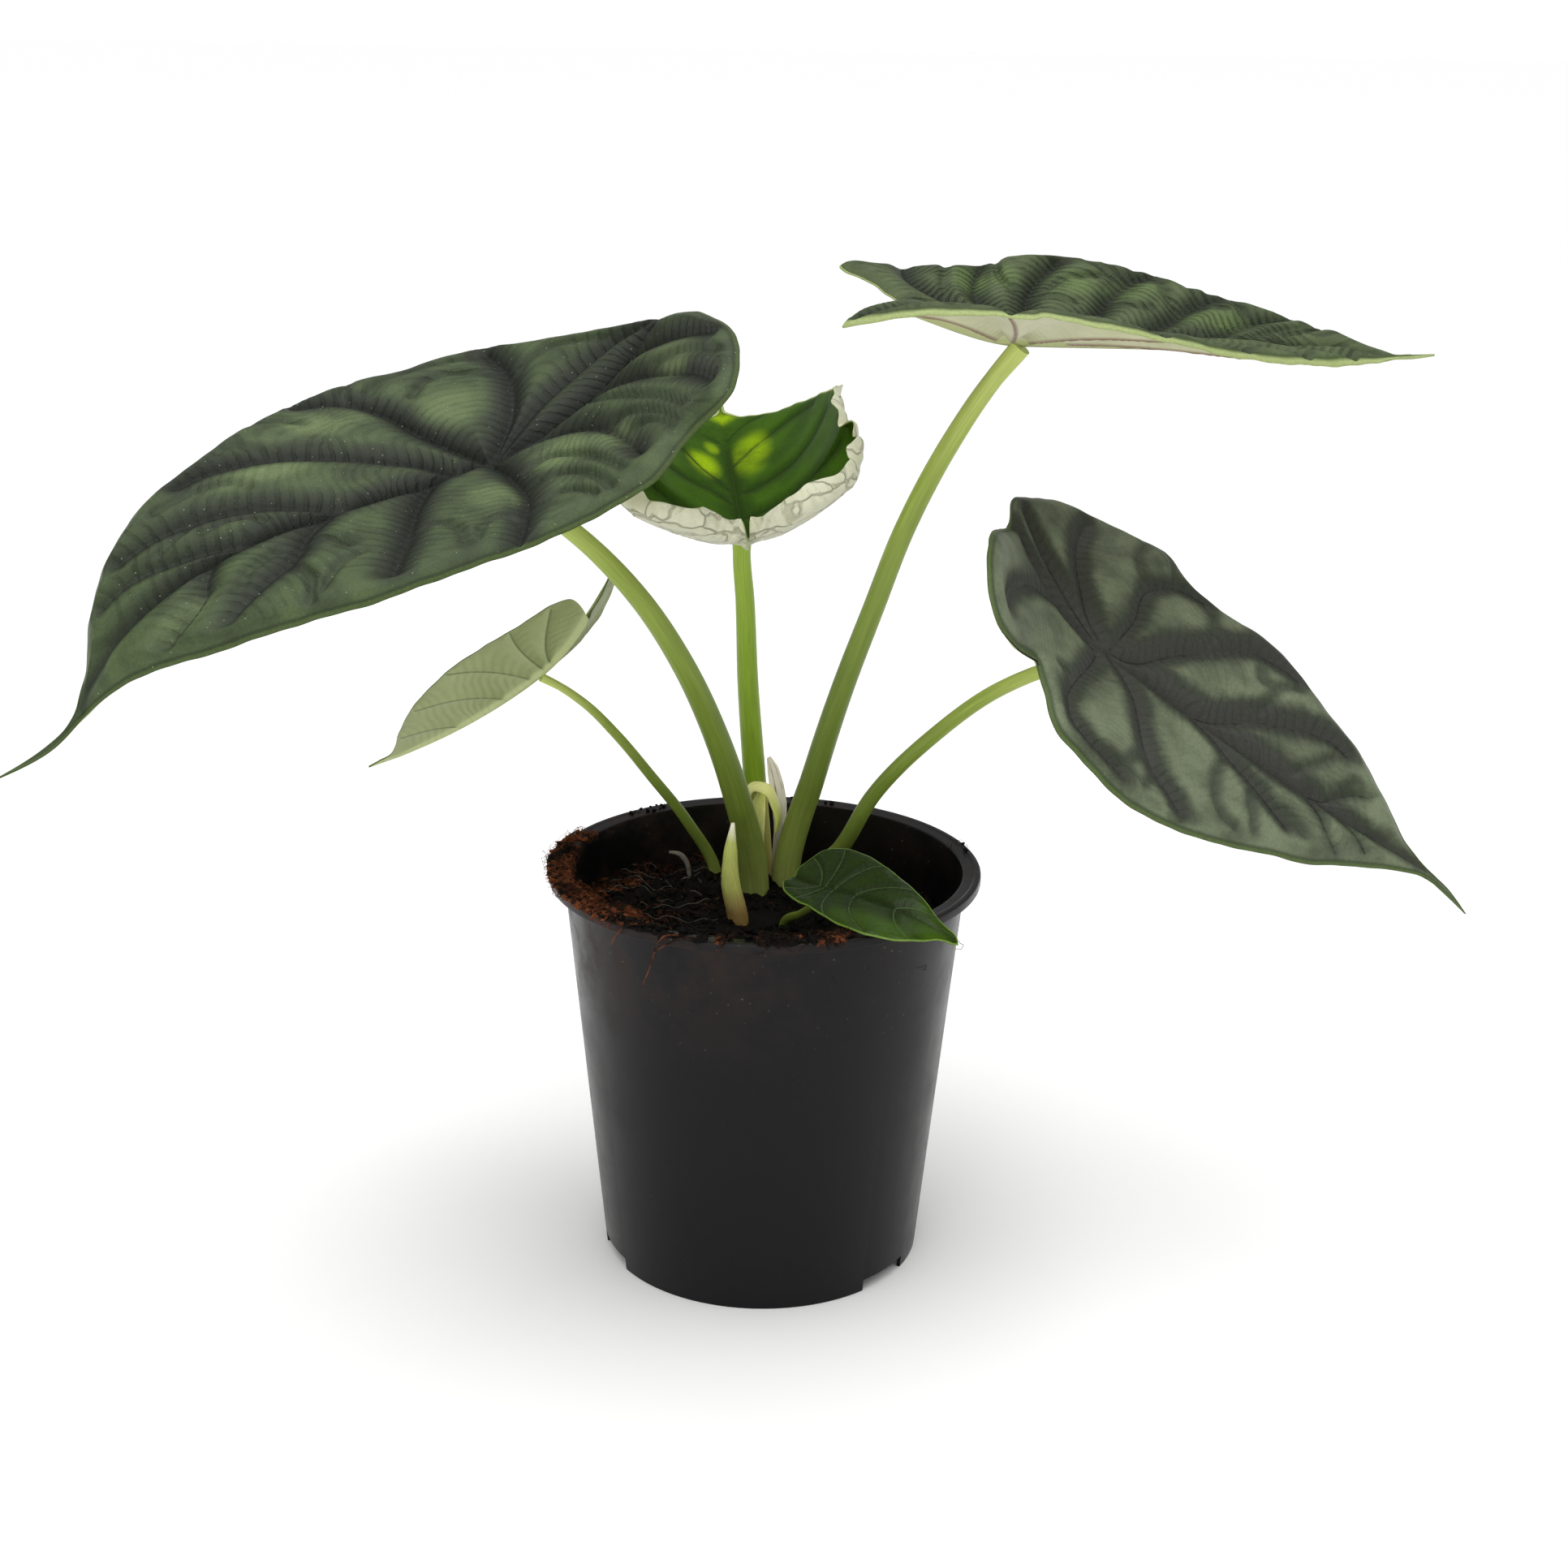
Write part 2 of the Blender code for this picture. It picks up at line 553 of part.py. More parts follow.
def prism(sides, radius, low, high, centre):
    """Give the points and faces of an upright prism."""
    points = []
    for z in (low, high):
        for step in range(sides):
            angle = 2 * math.pi * step / sides
            points.append((centre[0] + radius * math.cos(angle), centre[1] + radius * math.sin(angle), z))
    faces = [(i, (i + 1) % sides, (i + 1) % sides + sides, i + sides) for i in range(sides)]
    faces += [tuple(range(sides))[::-1], tuple(range(sides, 2 * sides))]
    return points, faces


def foot_gap(start):
    """Give the wedge that opens the foot ring between two feet."""
    corners = []
    for radius in (WALL_FOOT_RADIUS - FOOT_GAP_REACH, WALL_FOOT_RADIUS + FOOT_GAP_REACH):
        for degrees in (start, start + FOOT_GAP_ANGLE):
            angle = math.radians(degrees)
            corners.append((radius * math.cos(angle), radius * math.sin(angle)))
    order = (0, 2, 3, 1)
    points = [(*corners[i], -1.0) for i in order] + [(*corners[i], FOOT_GAP_HEIGHT) for i in order]
    faces = [(0, 1, 5, 4), (1, 2, 6, 5), (2, 3, 7, 6), (3, 0, 4, 7), (3, 2, 1, 0), (4, 5, 6, 7)]
    return points, faces


def make_pot(material):
    """Turn the pot's profile, then open the feet and the drain holes."""
    deck = FLOOR_RAISE + FLOOR_THICKNESS
    under_rim = POT_HEIGHT - WALL
    profile = [
        (0.0, FLOOR_RAISE), (wall_radius(FLOOR_RAISE) - WALL, FLOOR_RAISE),
        (wall_radius(0) - WALL, 0.0), (wall_radius(0), 0.0),
        (wall_radius(0.5 * POT_HEIGHT), 0.5 * POT_HEIGHT),
        (wall_radius(under_rim), under_rim),
        (RIM_RADIUS - WALL, under_rim), (RIM_RADIUS - WALL, POT_HEIGHT - RIM_LIP),
        (RIM_RADIUS, POT_HEIGHT - RIM_LIP), (RIM_RADIUS, POT_HEIGHT - RIM_EDGE),
        (RIM_RADIUS - RIM_EDGE, POT_HEIGHT), (RIM_INNER_RADIUS, POT_HEIGHT),
        (wall_radius(0.5 * POT_HEIGHT) - WALL, 0.5 * POT_HEIGHT),
        (wall_radius(deck) - WALL, deck), (0.0, deck),
    ]
    shape = bmesh.new()
    line = [shape.verts.new((radius * MM, 0.0, z * MM)) for radius, z in profile]
    edges = [shape.edges.new(pair) for pair in zip(line, line[1:])]
    bmesh.ops.spin(shape, geom=line + edges, cent=(0, 0, 0), axis=(0, 0, 1), steps=POT_SIDES,
                   angle=2 * math.pi, use_merge=True)
    bmesh.ops.remove_doubles(shape, verts=shape.verts, dist=1e-6)
    bmesh.ops.recalc_face_normals(shape, faces=shape.faces)
    mesh = bpy.data.meshes.new("pot")
    shape.to_mesh(mesh)
    shape.free()
    pot = add_object("pot", mesh, material)
    shapes = [foot_gap(start) for start in FOOT_GAP_STARTS]
    for step in range(DRAIN_COUNT):
        angle = 2 * math.pi * (step + 0.5) / DRAIN_COUNT
        centre = (DRAIN_CIRCLE * math.cos(angle), DRAIN_CIRCLE * math.sin(angle))
        shapes.append(prism(DRAIN_SIDES, DRAIN_RADIUS, 0.5 * FLOOR_RAISE, deck + WALL, centre))
    cut(pot, [as_cutter(make_object("opening", *shape, material)) for shape in shapes])
    return pot


def soil_height(x, y):
    """Heap the soil up to the rim at the front left and let it sink at the back right."""
    radius = np.hypot(x, y)
    out = np.clip((radius - SOIL_FLAT_RADIUS) / SOIL_SLOPE, 0.0, 1.0)
    out = out * out * (3 - 2 * out)
    toward = np.cos(np.arctan2(y, x) - math.radians(SOIL_HEAP_AZIMUTH))
    heap = SOIL_HEAP * out * np.clip(toward, 0, 1)**1.4
    dip = SOIL_DIP * out * np.clip(-toward, 0, 1)
    lumps = sum(high * np.sin(a * x + b * y + shift) for high, a, b, shift in SOIL_LUMPS)
    return SOIL_LEVEL + heap - dip + lumps * np.clip(radius / SOIL_SLOPE, 0.3, 1.0)


def make_soil(material, stems):
    """Fill the pot with soil and leave a plain hole for each stem."""
    low = FLOOR_RAISE + FLOOR_THICKNESS + GAP
    inside = WALL + GAP
    edge_radius = wall_radius(SOIL_LEVEL) - inside
    angles = np.linspace(0, 2 * math.pi, SOIL_SIDES, endpoint=False)
    points = [(0.0, 0.0, float(soil_height(0.0, 0.0)))]
    for ring in range(1, SOIL_RINGS + 1):
        radius = edge_radius * ring / SOIL_RINGS
        for angle in angles:
            x = radius * math.cos(angle)
            y = radius * math.sin(angle)
            z = float(soil_height(x, y))
            if ring == SOIL_RINGS:
                x = (wall_radius(z) - inside) * math.cos(angle)
                y = (wall_radius(z) - inside) * math.sin(angle)
            points.append((x, y, z))
    foot = len(points)
    for angle in angles:
        radius = wall_radius(low) - inside
        points.append((radius * math.cos(angle), radius * math.sin(angle), low))
    points.append((0.0, 0.0, low))
    faces = []
    for step in range(SOIL_SIDES):
        after = (step + 1) % SOIL_SIDES
        faces.append((0, 1 + step, 1 + after))
        for ring in range(SOIL_RINGS - 1):
            a = 1 + ring * SOIL_SIDES
            b = a + SOIL_SIDES
            faces.append((a + step, b + step, b + after))
            faces.append((a + step, b + after, a + after))
        edge = 1 + (SOIL_RINGS - 1) * SOIL_SIDES
        faces.append((edge + step, foot + step, foot + after, edge + after))
        faces.append((foot + step, foot + SOIL_SIDES, foot + after))
    soil = make_object("soil", points, faces, material)
    cut(soil, [as_cutter(make_tube("hole", path, [radius + HOLE_GAP], material))
               for path, radius in stems])
    return soil


def rooted(path, radii):
    """Carry a strand's path and radii down from the soil's level into its hole."""
    foot = np.asarray(path[0], float) - (0.0, 0.0, STEM_DEPTH)
    return [foot, *path], (radii[0], *radii)


def build():
    clear_scene()
    pot_plastic = make_material("black_plastic", (0.018, 0.018, 0.021), 0.42)
    peat = make_material("peat", (0.022, 0.014, 0.010), 0.95)
    silver_green = make_material("silver_green_blade", (0.115, 0.165, 0.125), 0.45)
    dark_green = make_material("dark_green_blade", (0.035, 0.070, 0.038), 0.42)
    young_green = make_material("young_green_blade", (0.045, 0.120, 0.030), 0.30)
    stem_green = make_material("stem_green", (0.200, 0.260, 0.060), 0.40)
    cream = make_material("cream_sheath", (0.560, 0.520, 0.330), 0.50)
    straw = make_material("straw_sheath", (0.400, 0.290, 0.170), 0.70)
    blades = dict(left=dark_green, right=silver_green, top=dark_green, back=dark_green,
                  small_left=silver_green, small_front=young_green)
    for leaf in LEAVES:
        make_blade(leaf, blades[leaf.name])
        make_petiole(leaf, stem_green)
    shoot = rooted(SHOOT_PATH, SHOOT_RADII)
    pale_sheath = rooted(PALE_SHEATH_PATH, PALE_SHEATH_RADII)
    dry_sheath = rooted(DRY_SHEATH_PATH, DRY_SHEATH_RADII)
    make_tube("shoot", *shoot, cream)
    make_tube("sheath_pale", *pale_sheath, cream, depth=PALE_SHEATH_DEPTH)
    make_tube("sheath_dry", *dry_sheath, straw, depth=DRY_SHEATH_DEPTH)
    make_pot(pot_plastic)
    strands = [(petiole_path(leaf), leaf.radii) for leaf in LEAVES] + [shoot, pale_sheath, dry_sheath]
    stems = [([path[0] - (0.0, 0.0, HOLE_EXTRA), *path[1:3]], radii[0]) for path, radii in strands]
    make_soil(peat, stems)


build()
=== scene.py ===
"""Potted dragon scale alocasia: the looks.

Lengths in the tables are in millimetres and angles in degrees. The scene is in metres, with +Z up, the
origin on the floor under the middle of the whole plant's box, and -Y towards the viewer. The tables
measure from the middle of the pot's foot, which stands at POT_PLACE, and settle() carries each piece there.
"""

import math
from dataclasses import dataclass

import bmesh
import bpy
import numpy as np
from mathutils import Matrix, Vector

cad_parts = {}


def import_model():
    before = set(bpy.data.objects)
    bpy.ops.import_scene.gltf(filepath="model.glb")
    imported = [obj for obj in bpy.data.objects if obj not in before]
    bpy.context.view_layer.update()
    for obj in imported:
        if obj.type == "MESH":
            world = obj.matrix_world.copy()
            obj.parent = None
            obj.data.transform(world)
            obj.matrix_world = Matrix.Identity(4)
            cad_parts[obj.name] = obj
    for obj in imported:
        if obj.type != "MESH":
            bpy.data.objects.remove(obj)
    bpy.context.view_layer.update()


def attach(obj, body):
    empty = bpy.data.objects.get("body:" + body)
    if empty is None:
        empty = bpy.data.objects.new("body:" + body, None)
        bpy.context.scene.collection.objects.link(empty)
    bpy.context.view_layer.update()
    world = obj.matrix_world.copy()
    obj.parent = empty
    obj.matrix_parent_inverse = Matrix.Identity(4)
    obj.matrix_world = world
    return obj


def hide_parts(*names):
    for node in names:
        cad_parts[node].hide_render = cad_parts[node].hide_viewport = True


MM = 0.001
POT_PLACE = (-4.9, -6.8, 0.0)
SEED = 7

# Camera, fitted to the pot's rim and foot in the photograph
CAMERA_PLACE = (-0.0049, -0.6248, 0.341)
CAMERA_PITCH = 18.22
CAMERA_YAW = 0.46
CAMERA_ROLL = 0.83
PHOTO_SIZE = 1932
FOCAL_PIXELS = 2911.0
SENSOR = 36.0

# Pot
POT_HEIGHT = 114.0
RIM_RADIUS = 60.0
RIM_INNER_RADIUS = 55.0
RIM_LIP = 2.6
RIM_ROUND = 0.7
WALL_TOP_RADIUS = 56.0
WALL_FOOT_RADIUS = 45.0
WALL = 1.0
FLOOR_RAISE = 3.8
FLOOR_THICKNESS = 1.2
FOOT_GAP_STARTS = (66.0, 190.0, 309.5)
FOOT_GAP_ANGLE = 22.5
FOOT_GAP_HEIGHT = 3.6
DRAIN_RADIUS = 4.0
DRAIN_CIRCLE = 27.0
DRAIN_COUNT = 6
DRAIN_SIDES = 32
POT_SIDES = 256
CUTTER_REACH = 4.0
SHARP_ANGLE = 35.0

# Soil
GAP = 0.3
SOIL_LEVEL = 97.5
SOIL_HEAP = 13.0
SOIL_HEAP_AZIMUTH = 232.0
SOIL_DIP = 3.5
SOIL_FLAT_RADIUS = 22.0
SOIL_SLOPE = 30.0
SOIL_LUMPS = ((1.1, 0.31, 0.00, 0.9), (0.8, 0.53, -0.47, 0.0), (0.5, 0.83, 0.71, 2.9), (0.5, 0.10, 0.42, 0.4))
SOIL_STEP = 0.9
SOIL_SIDES = 240
# A kind of clod is its height and its size.
CLODS = ((1.5, 11.0), (0.9, 5.0), (0.5, 2.3), (0.3, 1.2))
# Where loose matter lies: first azimuth, sweep, and inner and outer radius.
WHOLE_TOP = ((0, 360, 5, 53),)
RIM_SPILL = ((150, 118, 50, 60.2), (262, 34, 53, 60))
FAR_SPILL = ((8, 16, 56.5, 59.5), (62, 40, 55, 59.5), (112, 30, 55, 60))
COIR_SPOTS = ((146, 96, 42, 60.4), (255, 10, 54, 60.4), (268, 12, 52, 60.4), (280, 14, 51, 60.4))
WALL_COIR = ((55, 100, 40, 54), (12, 10, 54, 60))
PATCH_GRID = (3.0, 1.2)
RAGGED_SIZE = 3.5
STEEPEST = 7.0
STEM_DEPTH = 9.0
ROOT_THREADS = (
    ((-47, 20), (-41, 25), (-34, 21), (-27, 24), (-19, 29)), ((-39, 35), (-32, 38), (-24, 35), (-17, 37)),
    ((-35, 3), (-27, 5), (-19, 7), (-13, 13)), ((-46, 8), (-39, 13), (-31, 11), (-24, 15), (-18, 13)),
    ((-33, -8), (-25, -5), (-18, -9), (-13, -6)), ((-29, 29), (-25, 25), (-21, 27), (-17, 22)),
    ((-42, 28), (-36, 31), (-30, 29)), ((33, 31), (38, 25), (42, 24)), ((15, 42), (20, 39), (23, 42)),
    ((-22, -20), (-16, -17), (-11, -20)),
)
THREAD_RADIUS = 0.075
THREAD_LIFT = 1.7
HANGING_FIBRES = (
    ((-22, -55, 114.6), (-25.5, -57, 115), (-27.5, -55.6, 112), (-29, -53.8, 106), (-31.5, -51.5, 99)),
    ((-18, -57, 114.6), (-21, -58, 114.8), (-24.5, -56.2, 112.6), (-28, -54.6, 109.5), (-29.5, -53.4, 105)),
    ((-33, -48, 114.8), (-35.5, -49.5, 114.6), (-38, -47.6, 112), (-40, -44.8, 107.5)),
)
SPROUT_PATH = ((-22, 30, 99), (-23, 30, 103.5), (-25, 29.5, 106), (-28, 29.5, 106.6))

# Blades: their thickness, and the keels of the midrib and the veins on the lower face
BLADE_THICKNESS = 0.8
THIN_EDGE = 0.35
EDGE_TAPER = 2.5
KEEL = 0.9
KEEL_WIDTH = 1.3
VEIN_KEEL = 0.45
VEIN_KEEL_WIDTH = 0.9
THIN_KEEL = 0.25

# Blades: the creases of the pads, the drip tip, the waves of the margin and its roll
FOLD_DEPTH = 0.45
FOLD_WIDTH = 1.4
TIP_FADE = 14.0
TIP_PALER = 3.6
RIPPLE_REACH = 4.0
FLUTTER_REACH = 12.0
FLUTTER_END = (15.0, 40.0)
CURL_SPREAD = 30.0
CURL_UNEVEN = 0.11
CURL_END = (6.0, 34.0)
# How softly a patch of painted glow fades at its edge. The patches are painted light, not the tissue's own
# colour
PAINTED_GLOW_SOFTNESS = 1.3

# Blades: the grid and its veins
VEIN_BEND_ALONG = 0.2
VEIN_BEND_OUT = 0.72
VEIN_STEP = 0.7
ROW_VEIN_STEPS = np.linspace(0.02, 0.95, 9)
ROW_CROWDING = 0.07
COLUMN_CROWDING = 0.05
PLAIN_BAND = 0.35
RIB_BLEND = 2.0
FAR_OFF = 1000.0
NO_COURSE = ((FAR_OFF, 0.0), (FAR_OFF + 1.0, 0.0))
TIP_BASE = 0.97
AXIS_STEPS = 500
MARGIN_STEPS = 12
MARGIN_GAP = 0.3
DRIP_STEPS = 26
SLOPE_STEP = 0.4
MIDRIB_BLEND = 1.2

# Stems and threads
STALK_SIDES = 28
STALK_REACH = 0.9
STALK_FLARE = 1.12
STEM_STEPS = 12
THREAD_SIDES = 5
THREAD_STEPS = 8
HANGING_RADII = (0.3, 0.22, 0.12)
SPROUT_SIDES = 8
SPROUT_RADII = (0.6, 0.9, 0.4)

# Gloss, as the shader's specular level, where 0.5 is the gloss of clear plastic
LEAF_SHINE = 0.12
STEM_SHINE = 0.25
POT_SHINE = 0.16
SOIL_SHINE = 0.1

# Patterns, in cells to a metre, which is a thousand over their size in millimetres
BLOTCHES = 140.0  # 7 mm, how far apart the dark bands bulge
MOTTLING = 85.0  # 12 mm, clouds of bloom over the pads
SKIN_GRAIN = 1400.0  # 0.7 mm. The skin's own cells are too fine to show, so these are drawn coarser
WATER_SPECKS = 420.0  # 2.4 mm apart, dried drops of water
UNDER_CLOUDS = 90.0  # 11 mm, clouds on the lower faces
CREASE_CELLS = 140.0  # 7 mm, facets of the crumpled lower face, which the stretch makes 23 mm along X
CREASE_STRETCH = (0.3, 1.0, 1.0)
CREASE_BENDS = 120.0  # 8 mm
CREASE_SHIFT = 0.008
STEM_BLUSH = 160.0  # 6 mm, where the colours of a stem run into each other
POT_GRAIN = 700.0  # 1.4 mm. The mould's own grain is too fine to show, so it is drawn coarser
POT_SMEARS = 60.0  # 17 mm, smears of wet peat
POT_GLINTS = 320.0  # 3 mm apart, pale specks painted as glints of water drops
PEAT_CLUMPS = 110.0  # 9 mm
PEAT_GRIT = 1600.0  # 0.6 mm, sieved grains

# Cells of noise around a stem and along it. 34 around a stalk are 0.2 to 0.8 mm wide, as its strands are.
STEM_STREAKS = (34.0, 9.0)
DRY_STREAKS = (22.0, 3.0)

# A wave texture of scale 1 repeats every WAVE_TURN of its coordinate, here a millimetre of the flat blade,
# so its scale is WAVE_TURN over the gap between two ribs.
WAVE_TURN = 2 * math.pi / 20
UNDER_RIB_GAP = 2.6

# New shoot and the old leaf bases
SHOOT_PATH = ((-7.5, 0, 98), (-9.5, 0, 108), (-9.6, 0, 118), (-9, 0, 126))
SHOOT_RADII = (3.0, 2.7, 1.9, 0.5)
PALE_SHEATH_PATH = ((0, 30, 98), (-3, 28.8, 108), (-5.6, 27.4, 117), (-5.9, 26.8, 123.5), (-3.6, 26.8, 127.8),
                    (0.2, 26.8, 127), (2.6, 26.5, 122.6), (3.6, 26.3, 118.6), (3.1, 26.2, 114.4))
PALE_SHEATH_RADII = (1.1, 1.1, 1.2, 1.5, 2.1, 2.5, 2.2, 1.8, 0.9)
PALE_SHEATH_DEPTH = 0.36
PALE_FOLD_PATH = ((-1.6, 26.4, 100), (-2.2, 26.0, 108), (-2.4, 25.4, 116), (-2.0, 25.2, 122),
                  (-1.2, 25.4, 126.5))
PALE_FOLD_RADII = (2.0, 3.0, 3.8, 3.6, 2.0)
PALE_FOLD_DEPTH = 0.2
DRY_SHEATH_PATH = ((2.2, 33.2, 98), (3.2, 32.4, 108), (4.1, 31.5, 114), (4.0, 31, 120.6), (3.1, 31, 126.4),
                   (1.9, 31, 131.8), (0.7, 31, 135.4))
DRY_SHEATH_RADII = (0.9, 1.5, 2.5, 3.1, 3.0, 2.3, 0.8)
DRY_SHEATH_DEPTH = 0.34

# Studio
FLOOR_REACH = 20000.0
SKY = ((0.0, 0.55), (0.08, 0.55), (0.2, 0.14), (0.6, 0.16), (0.85, 1.0))
SKY_STRENGTH = 1.9
LIGHTS = (("overhead", (-0.2, -0.3, 1.5), (0, 0, 0.15), 1.0, 5.5),
          ("right_card", (1.2, 0.3, 0.6), (0, 0, 0.15), 0.9, 1.0),
          ("front_card", (-0.3, -1.4, 0.38), (0, 0, 0.12), 0.9, 5.5))


@dataclass
class Leaf:
    """One blade with its petiole.

    The flat blade lies in x, from the drip tip at +x to the lobes at -x, and y, from the midrib out.
    Each outline runs from the tip round to the sinus between the lobes. A vein is its base on the
    midrib and its two ends on the left and right margins, all as parts of the front length if
    positive and of the lobe length if negative.
    """

    name: str
    joint: tuple
    heading: float
    pitch: float
    roll: float
    length: float
    lobe: float
    half_width: float
    left: tuple
    right: tuple
    sinus: float
    veins: tuple
    pad: float
    drip: float
    petiole: tuple
    radii: tuple
    droop: float = 0.0
    late_droop: float = 0.0
    lift: float = 0.0
    fold_left: float = 0.0
    fold_right: float = 0.0
    cup: float = 0.0
    twist: float = 0.0
    sway: float = 0.0
    lobe_sway: float = 0.0
    tip_fold: float = 0.6
    lobe_fold: tuple = (1.0, 1.0)
    lobe_ease: tuple = (1.0, 1.0)
    early_lift: float = 0.0
    drip_bend: float = 0.0
    lobe_twist: float = 0.0


LEFT = Leaf(
    name="left", joint=(-70, -32, 230), heading=216, pitch=17.5, roll=-5, length=120.5, lobe=73,
    half_width=61,
    left=((116, 6), (106, 14), (94, 26), (77, 38), (60, 47), (41, 51), (21, 54), (3, 56.5), (-13, 60),
          (-29, 57), (-41, 61), (-51, 55.5), (-60, 44), (-65, 25), (-66, 9)),
    right=((114, 4), (104, 12.5), (91, 24), (75, 35), (61, 42), (46, 51), (32, 57.5), (17, 63), (3, 65),
           (-10, 63.5), (-23, 61.5), (-34, 55), (-44, 42), (-52, 28), (-58, 15), (-62, 6)),
    sinus=0.86,
    veins=((0.66, 0.84, 0.92), (0.42, 0.62, 0.80), (0.22, 0.42, 0.60), (0.08, 0.22, 0.40),
           (0.0, 0.03, 0.18), (-0.04, -0.42, -0.40), (-0.12, -0.88, -0.88)),
    pad=3.4, drip=26,
    petiole=((-3, 23, 98), (-9, 12, 132.5), (-14.5, 5.5, 151), (-22.5, -2.5, 171.5),
             (-33.5, -10.5, 191.5), (-45.5, -18, 207), (-59, -26, 220)),
    radii=(4.3, 3.8, 3.5, 3.2, 2.9, 2.6, 2.4),
    droop=49, late_droop=4.5, lift=36, fold_left=3, fold_right=5, cup=4, twist=-12, sway=-0.03,
    lobe_twist=12, drip_bend=-48,
)

RIGHT = Leaf(
    name="right", joint=(87, -21.5, 181.5), heading=-11.5, pitch=35, roll=28.5, length=101, lobe=45,
    half_width=46,
    left=((97, 4), (86, 12), (71, 23), (57, 30), (44, 37), (33, 40), (22, 40), (11, 42.5), (-1, 49),
          (-11, 47.5), (-20, 44), (-30, 36.5), (-38, 21.5), (-42, 8)),
    right=((97, 4), (90, 8), (82, 13.5), (74, 19.5), (65, 24), (48, 34.5), (30, 43), (19, 45.5),
           (7, 44.5), (-2, 43.5), (-9, 36), (-15, 32.5), (-22, 41), (-32, 48.5), (-39, 45), (-43, 32),
           (-41.5, 16), (-39.5, 5)),
    sinus=0.86,
    veins=((0.68, 0.91, 0.91), (0.36, 0.80, 0.78), (0.10, 0.64, 0.50), (0.02, 0.38, 0.21),
           (-0.04, -0.28, -0.45), (-0.12, -0.86, -0.88)),
    pad=2.0, drip=20,
    petiole=((10, 22, 98), (21.5, 15.5, 113.5), (30, 9, 131.5), (45.5, -0.5, 152), (62, -9.5, 168),
             (76, -16.5, 176.5)),
    radii=(2.6, 2.4, 2.2, 2.1, 2.0, 1.9),
    droop=-3, late_droop=0.5, lift=3, fold_left=1, fold_right=14, cup=-3, twist=16, sway=0.06,
    lobe_sway=0.49, lobe_twist=-16, drip_bend=25,
)

TOP_HALF = ((93, 5), (86, 10), (77, 15.5), (67, 22), (56, 28), (46, 33), (36, 38), (25, 41.5),
            (14, 43.5), (3, 43), (-9, 40), (-21, 38), (-32, 33), (-41, 29.5), (-48.5, 27), (-46, 22),
            (-41, 17), (-36, 8))
TOP = Leaf(
    name="top", joint=(65, 1, 259), heading=1, pitch=0.8, roll=6.5, length=97.5, lobe=47,
    half_width=43, left=TOP_HALF, right=TOP_HALF, sinus=0.69,
    veins=((0.66, 0.90, 0.90), (0.36, 0.76, 0.76), (0.12, 0.58, 0.58), (0.02, 0.34, 0.34),
           (-0.05, -0.25, -0.25), (-0.14, -1.03, -1.03)),
    pad=2.2, drip=11,
    petiole=((6, 30, 98), (14, 24.5, 133.5), (21, 20, 159), (29, 16, 183.5), (37, 11.5, 207.5),
             (47.5, 7, 230.5), (58.5, 3.5, 249)),
    radii=(4.0, 3.5, 3.2, 3.0, 2.85, 2.7, 2.5),
    droop=2, lift=20, early_lift=4, fold_left=12, fold_right=16, cup=12, twist=7,
    tip_fold=0.2, lobe_fold=(-0.75, -0.55), lobe_ease=(1.0, 3.0), lobe_twist=3, drip_bend=-10,
)

BACK_HALF = ((86, 4), (80, 9), (70, 19), (58, 29), (44, 38), (30, 44), (14, 46.5), (0, 47),
             (-12, 46), (-24, 43.5), (-35, 38), (-43.5, 28), (-44, 15), (-36, 5))
BACK = Leaf(
    name="back", joint=(-7.5, 23, 203.5), heading=95, pitch=-11, roll=-4, length=90, lobe=44,
    half_width=47, left=BACK_HALF, right=BACK_HALF, sinus=0.78,
    veins=((0.66, 0.90, 0.90), (0.36, 0.76, 0.76), (0.12, 0.56, 0.56), (0.02, 0.32, 0.32),
           (-0.05, -0.25, -0.25), (-0.14, -0.88, -0.88)),
    pad=2.2, drip=9,
    petiole=((-1, 36, 96), (-3.5, 32, 131), (-5.5, 29, 158.5), (-6.5, 26, 183), (-7.5, 24, 197)),
    radii=(3.3, 3.3, 3.0, 2.7, 2.5),
    droop=0, lift=50, fold_left=20, fold_right=21, cup=52, lobe_fold=(-0.3, 0.15), drip_bend=-60,
)

SMALL_LEFT_HALF = ((52, 5), (46, 10.5), (35, 17.5), (27, 20.5), (18, 22), (10, 22.5), (1, 21),
                   (-8, 19), (-17, 15.5), (-23.5, 12), (-27, 7.5), (-25, 2.5))
SMALL_LEFT = Leaf(
    name="small_left", joint=(-64, 22.5, 162), heading=161, pitch=40, roll=8, length=57, lobe=27,
    half_width=22, left=SMALL_LEFT_HALF,
    right=((52, 5), (46, 10.5), (35, 17.5), (27, 20.5), (18, 22), (8, 22.5), (-2, 21.5), (-12, 19.5),
           (-21, 17.5), (-30, 15), (-38, 11), (-31, 6), (-25, 2.5)),
    sinus=0.84,
    veins=((0.55, 0.84, 0.84), (0.24, 0.62, 0.62), (0.05, 0.30, 0.30), (-0.08, -0.35, -0.35),
           (-0.18, -0.86, -0.86)),
    pad=0.8, drip=9,
    petiole=((-14.5, 34.5, 98), (-23, 32, 115.5), (-33.5, 29, 130.5), (-42.5, 27, 142.5),
             (-51.5, 25, 152.5), (-58.5, 23.5, 158)),
    radii=(1.8, 1.6, 1.5, 1.4, 1.25, 1.15),
    droop=-15, lift=26, fold_left=33, fold_right=9, cup=4.5, twist=3.5,
)

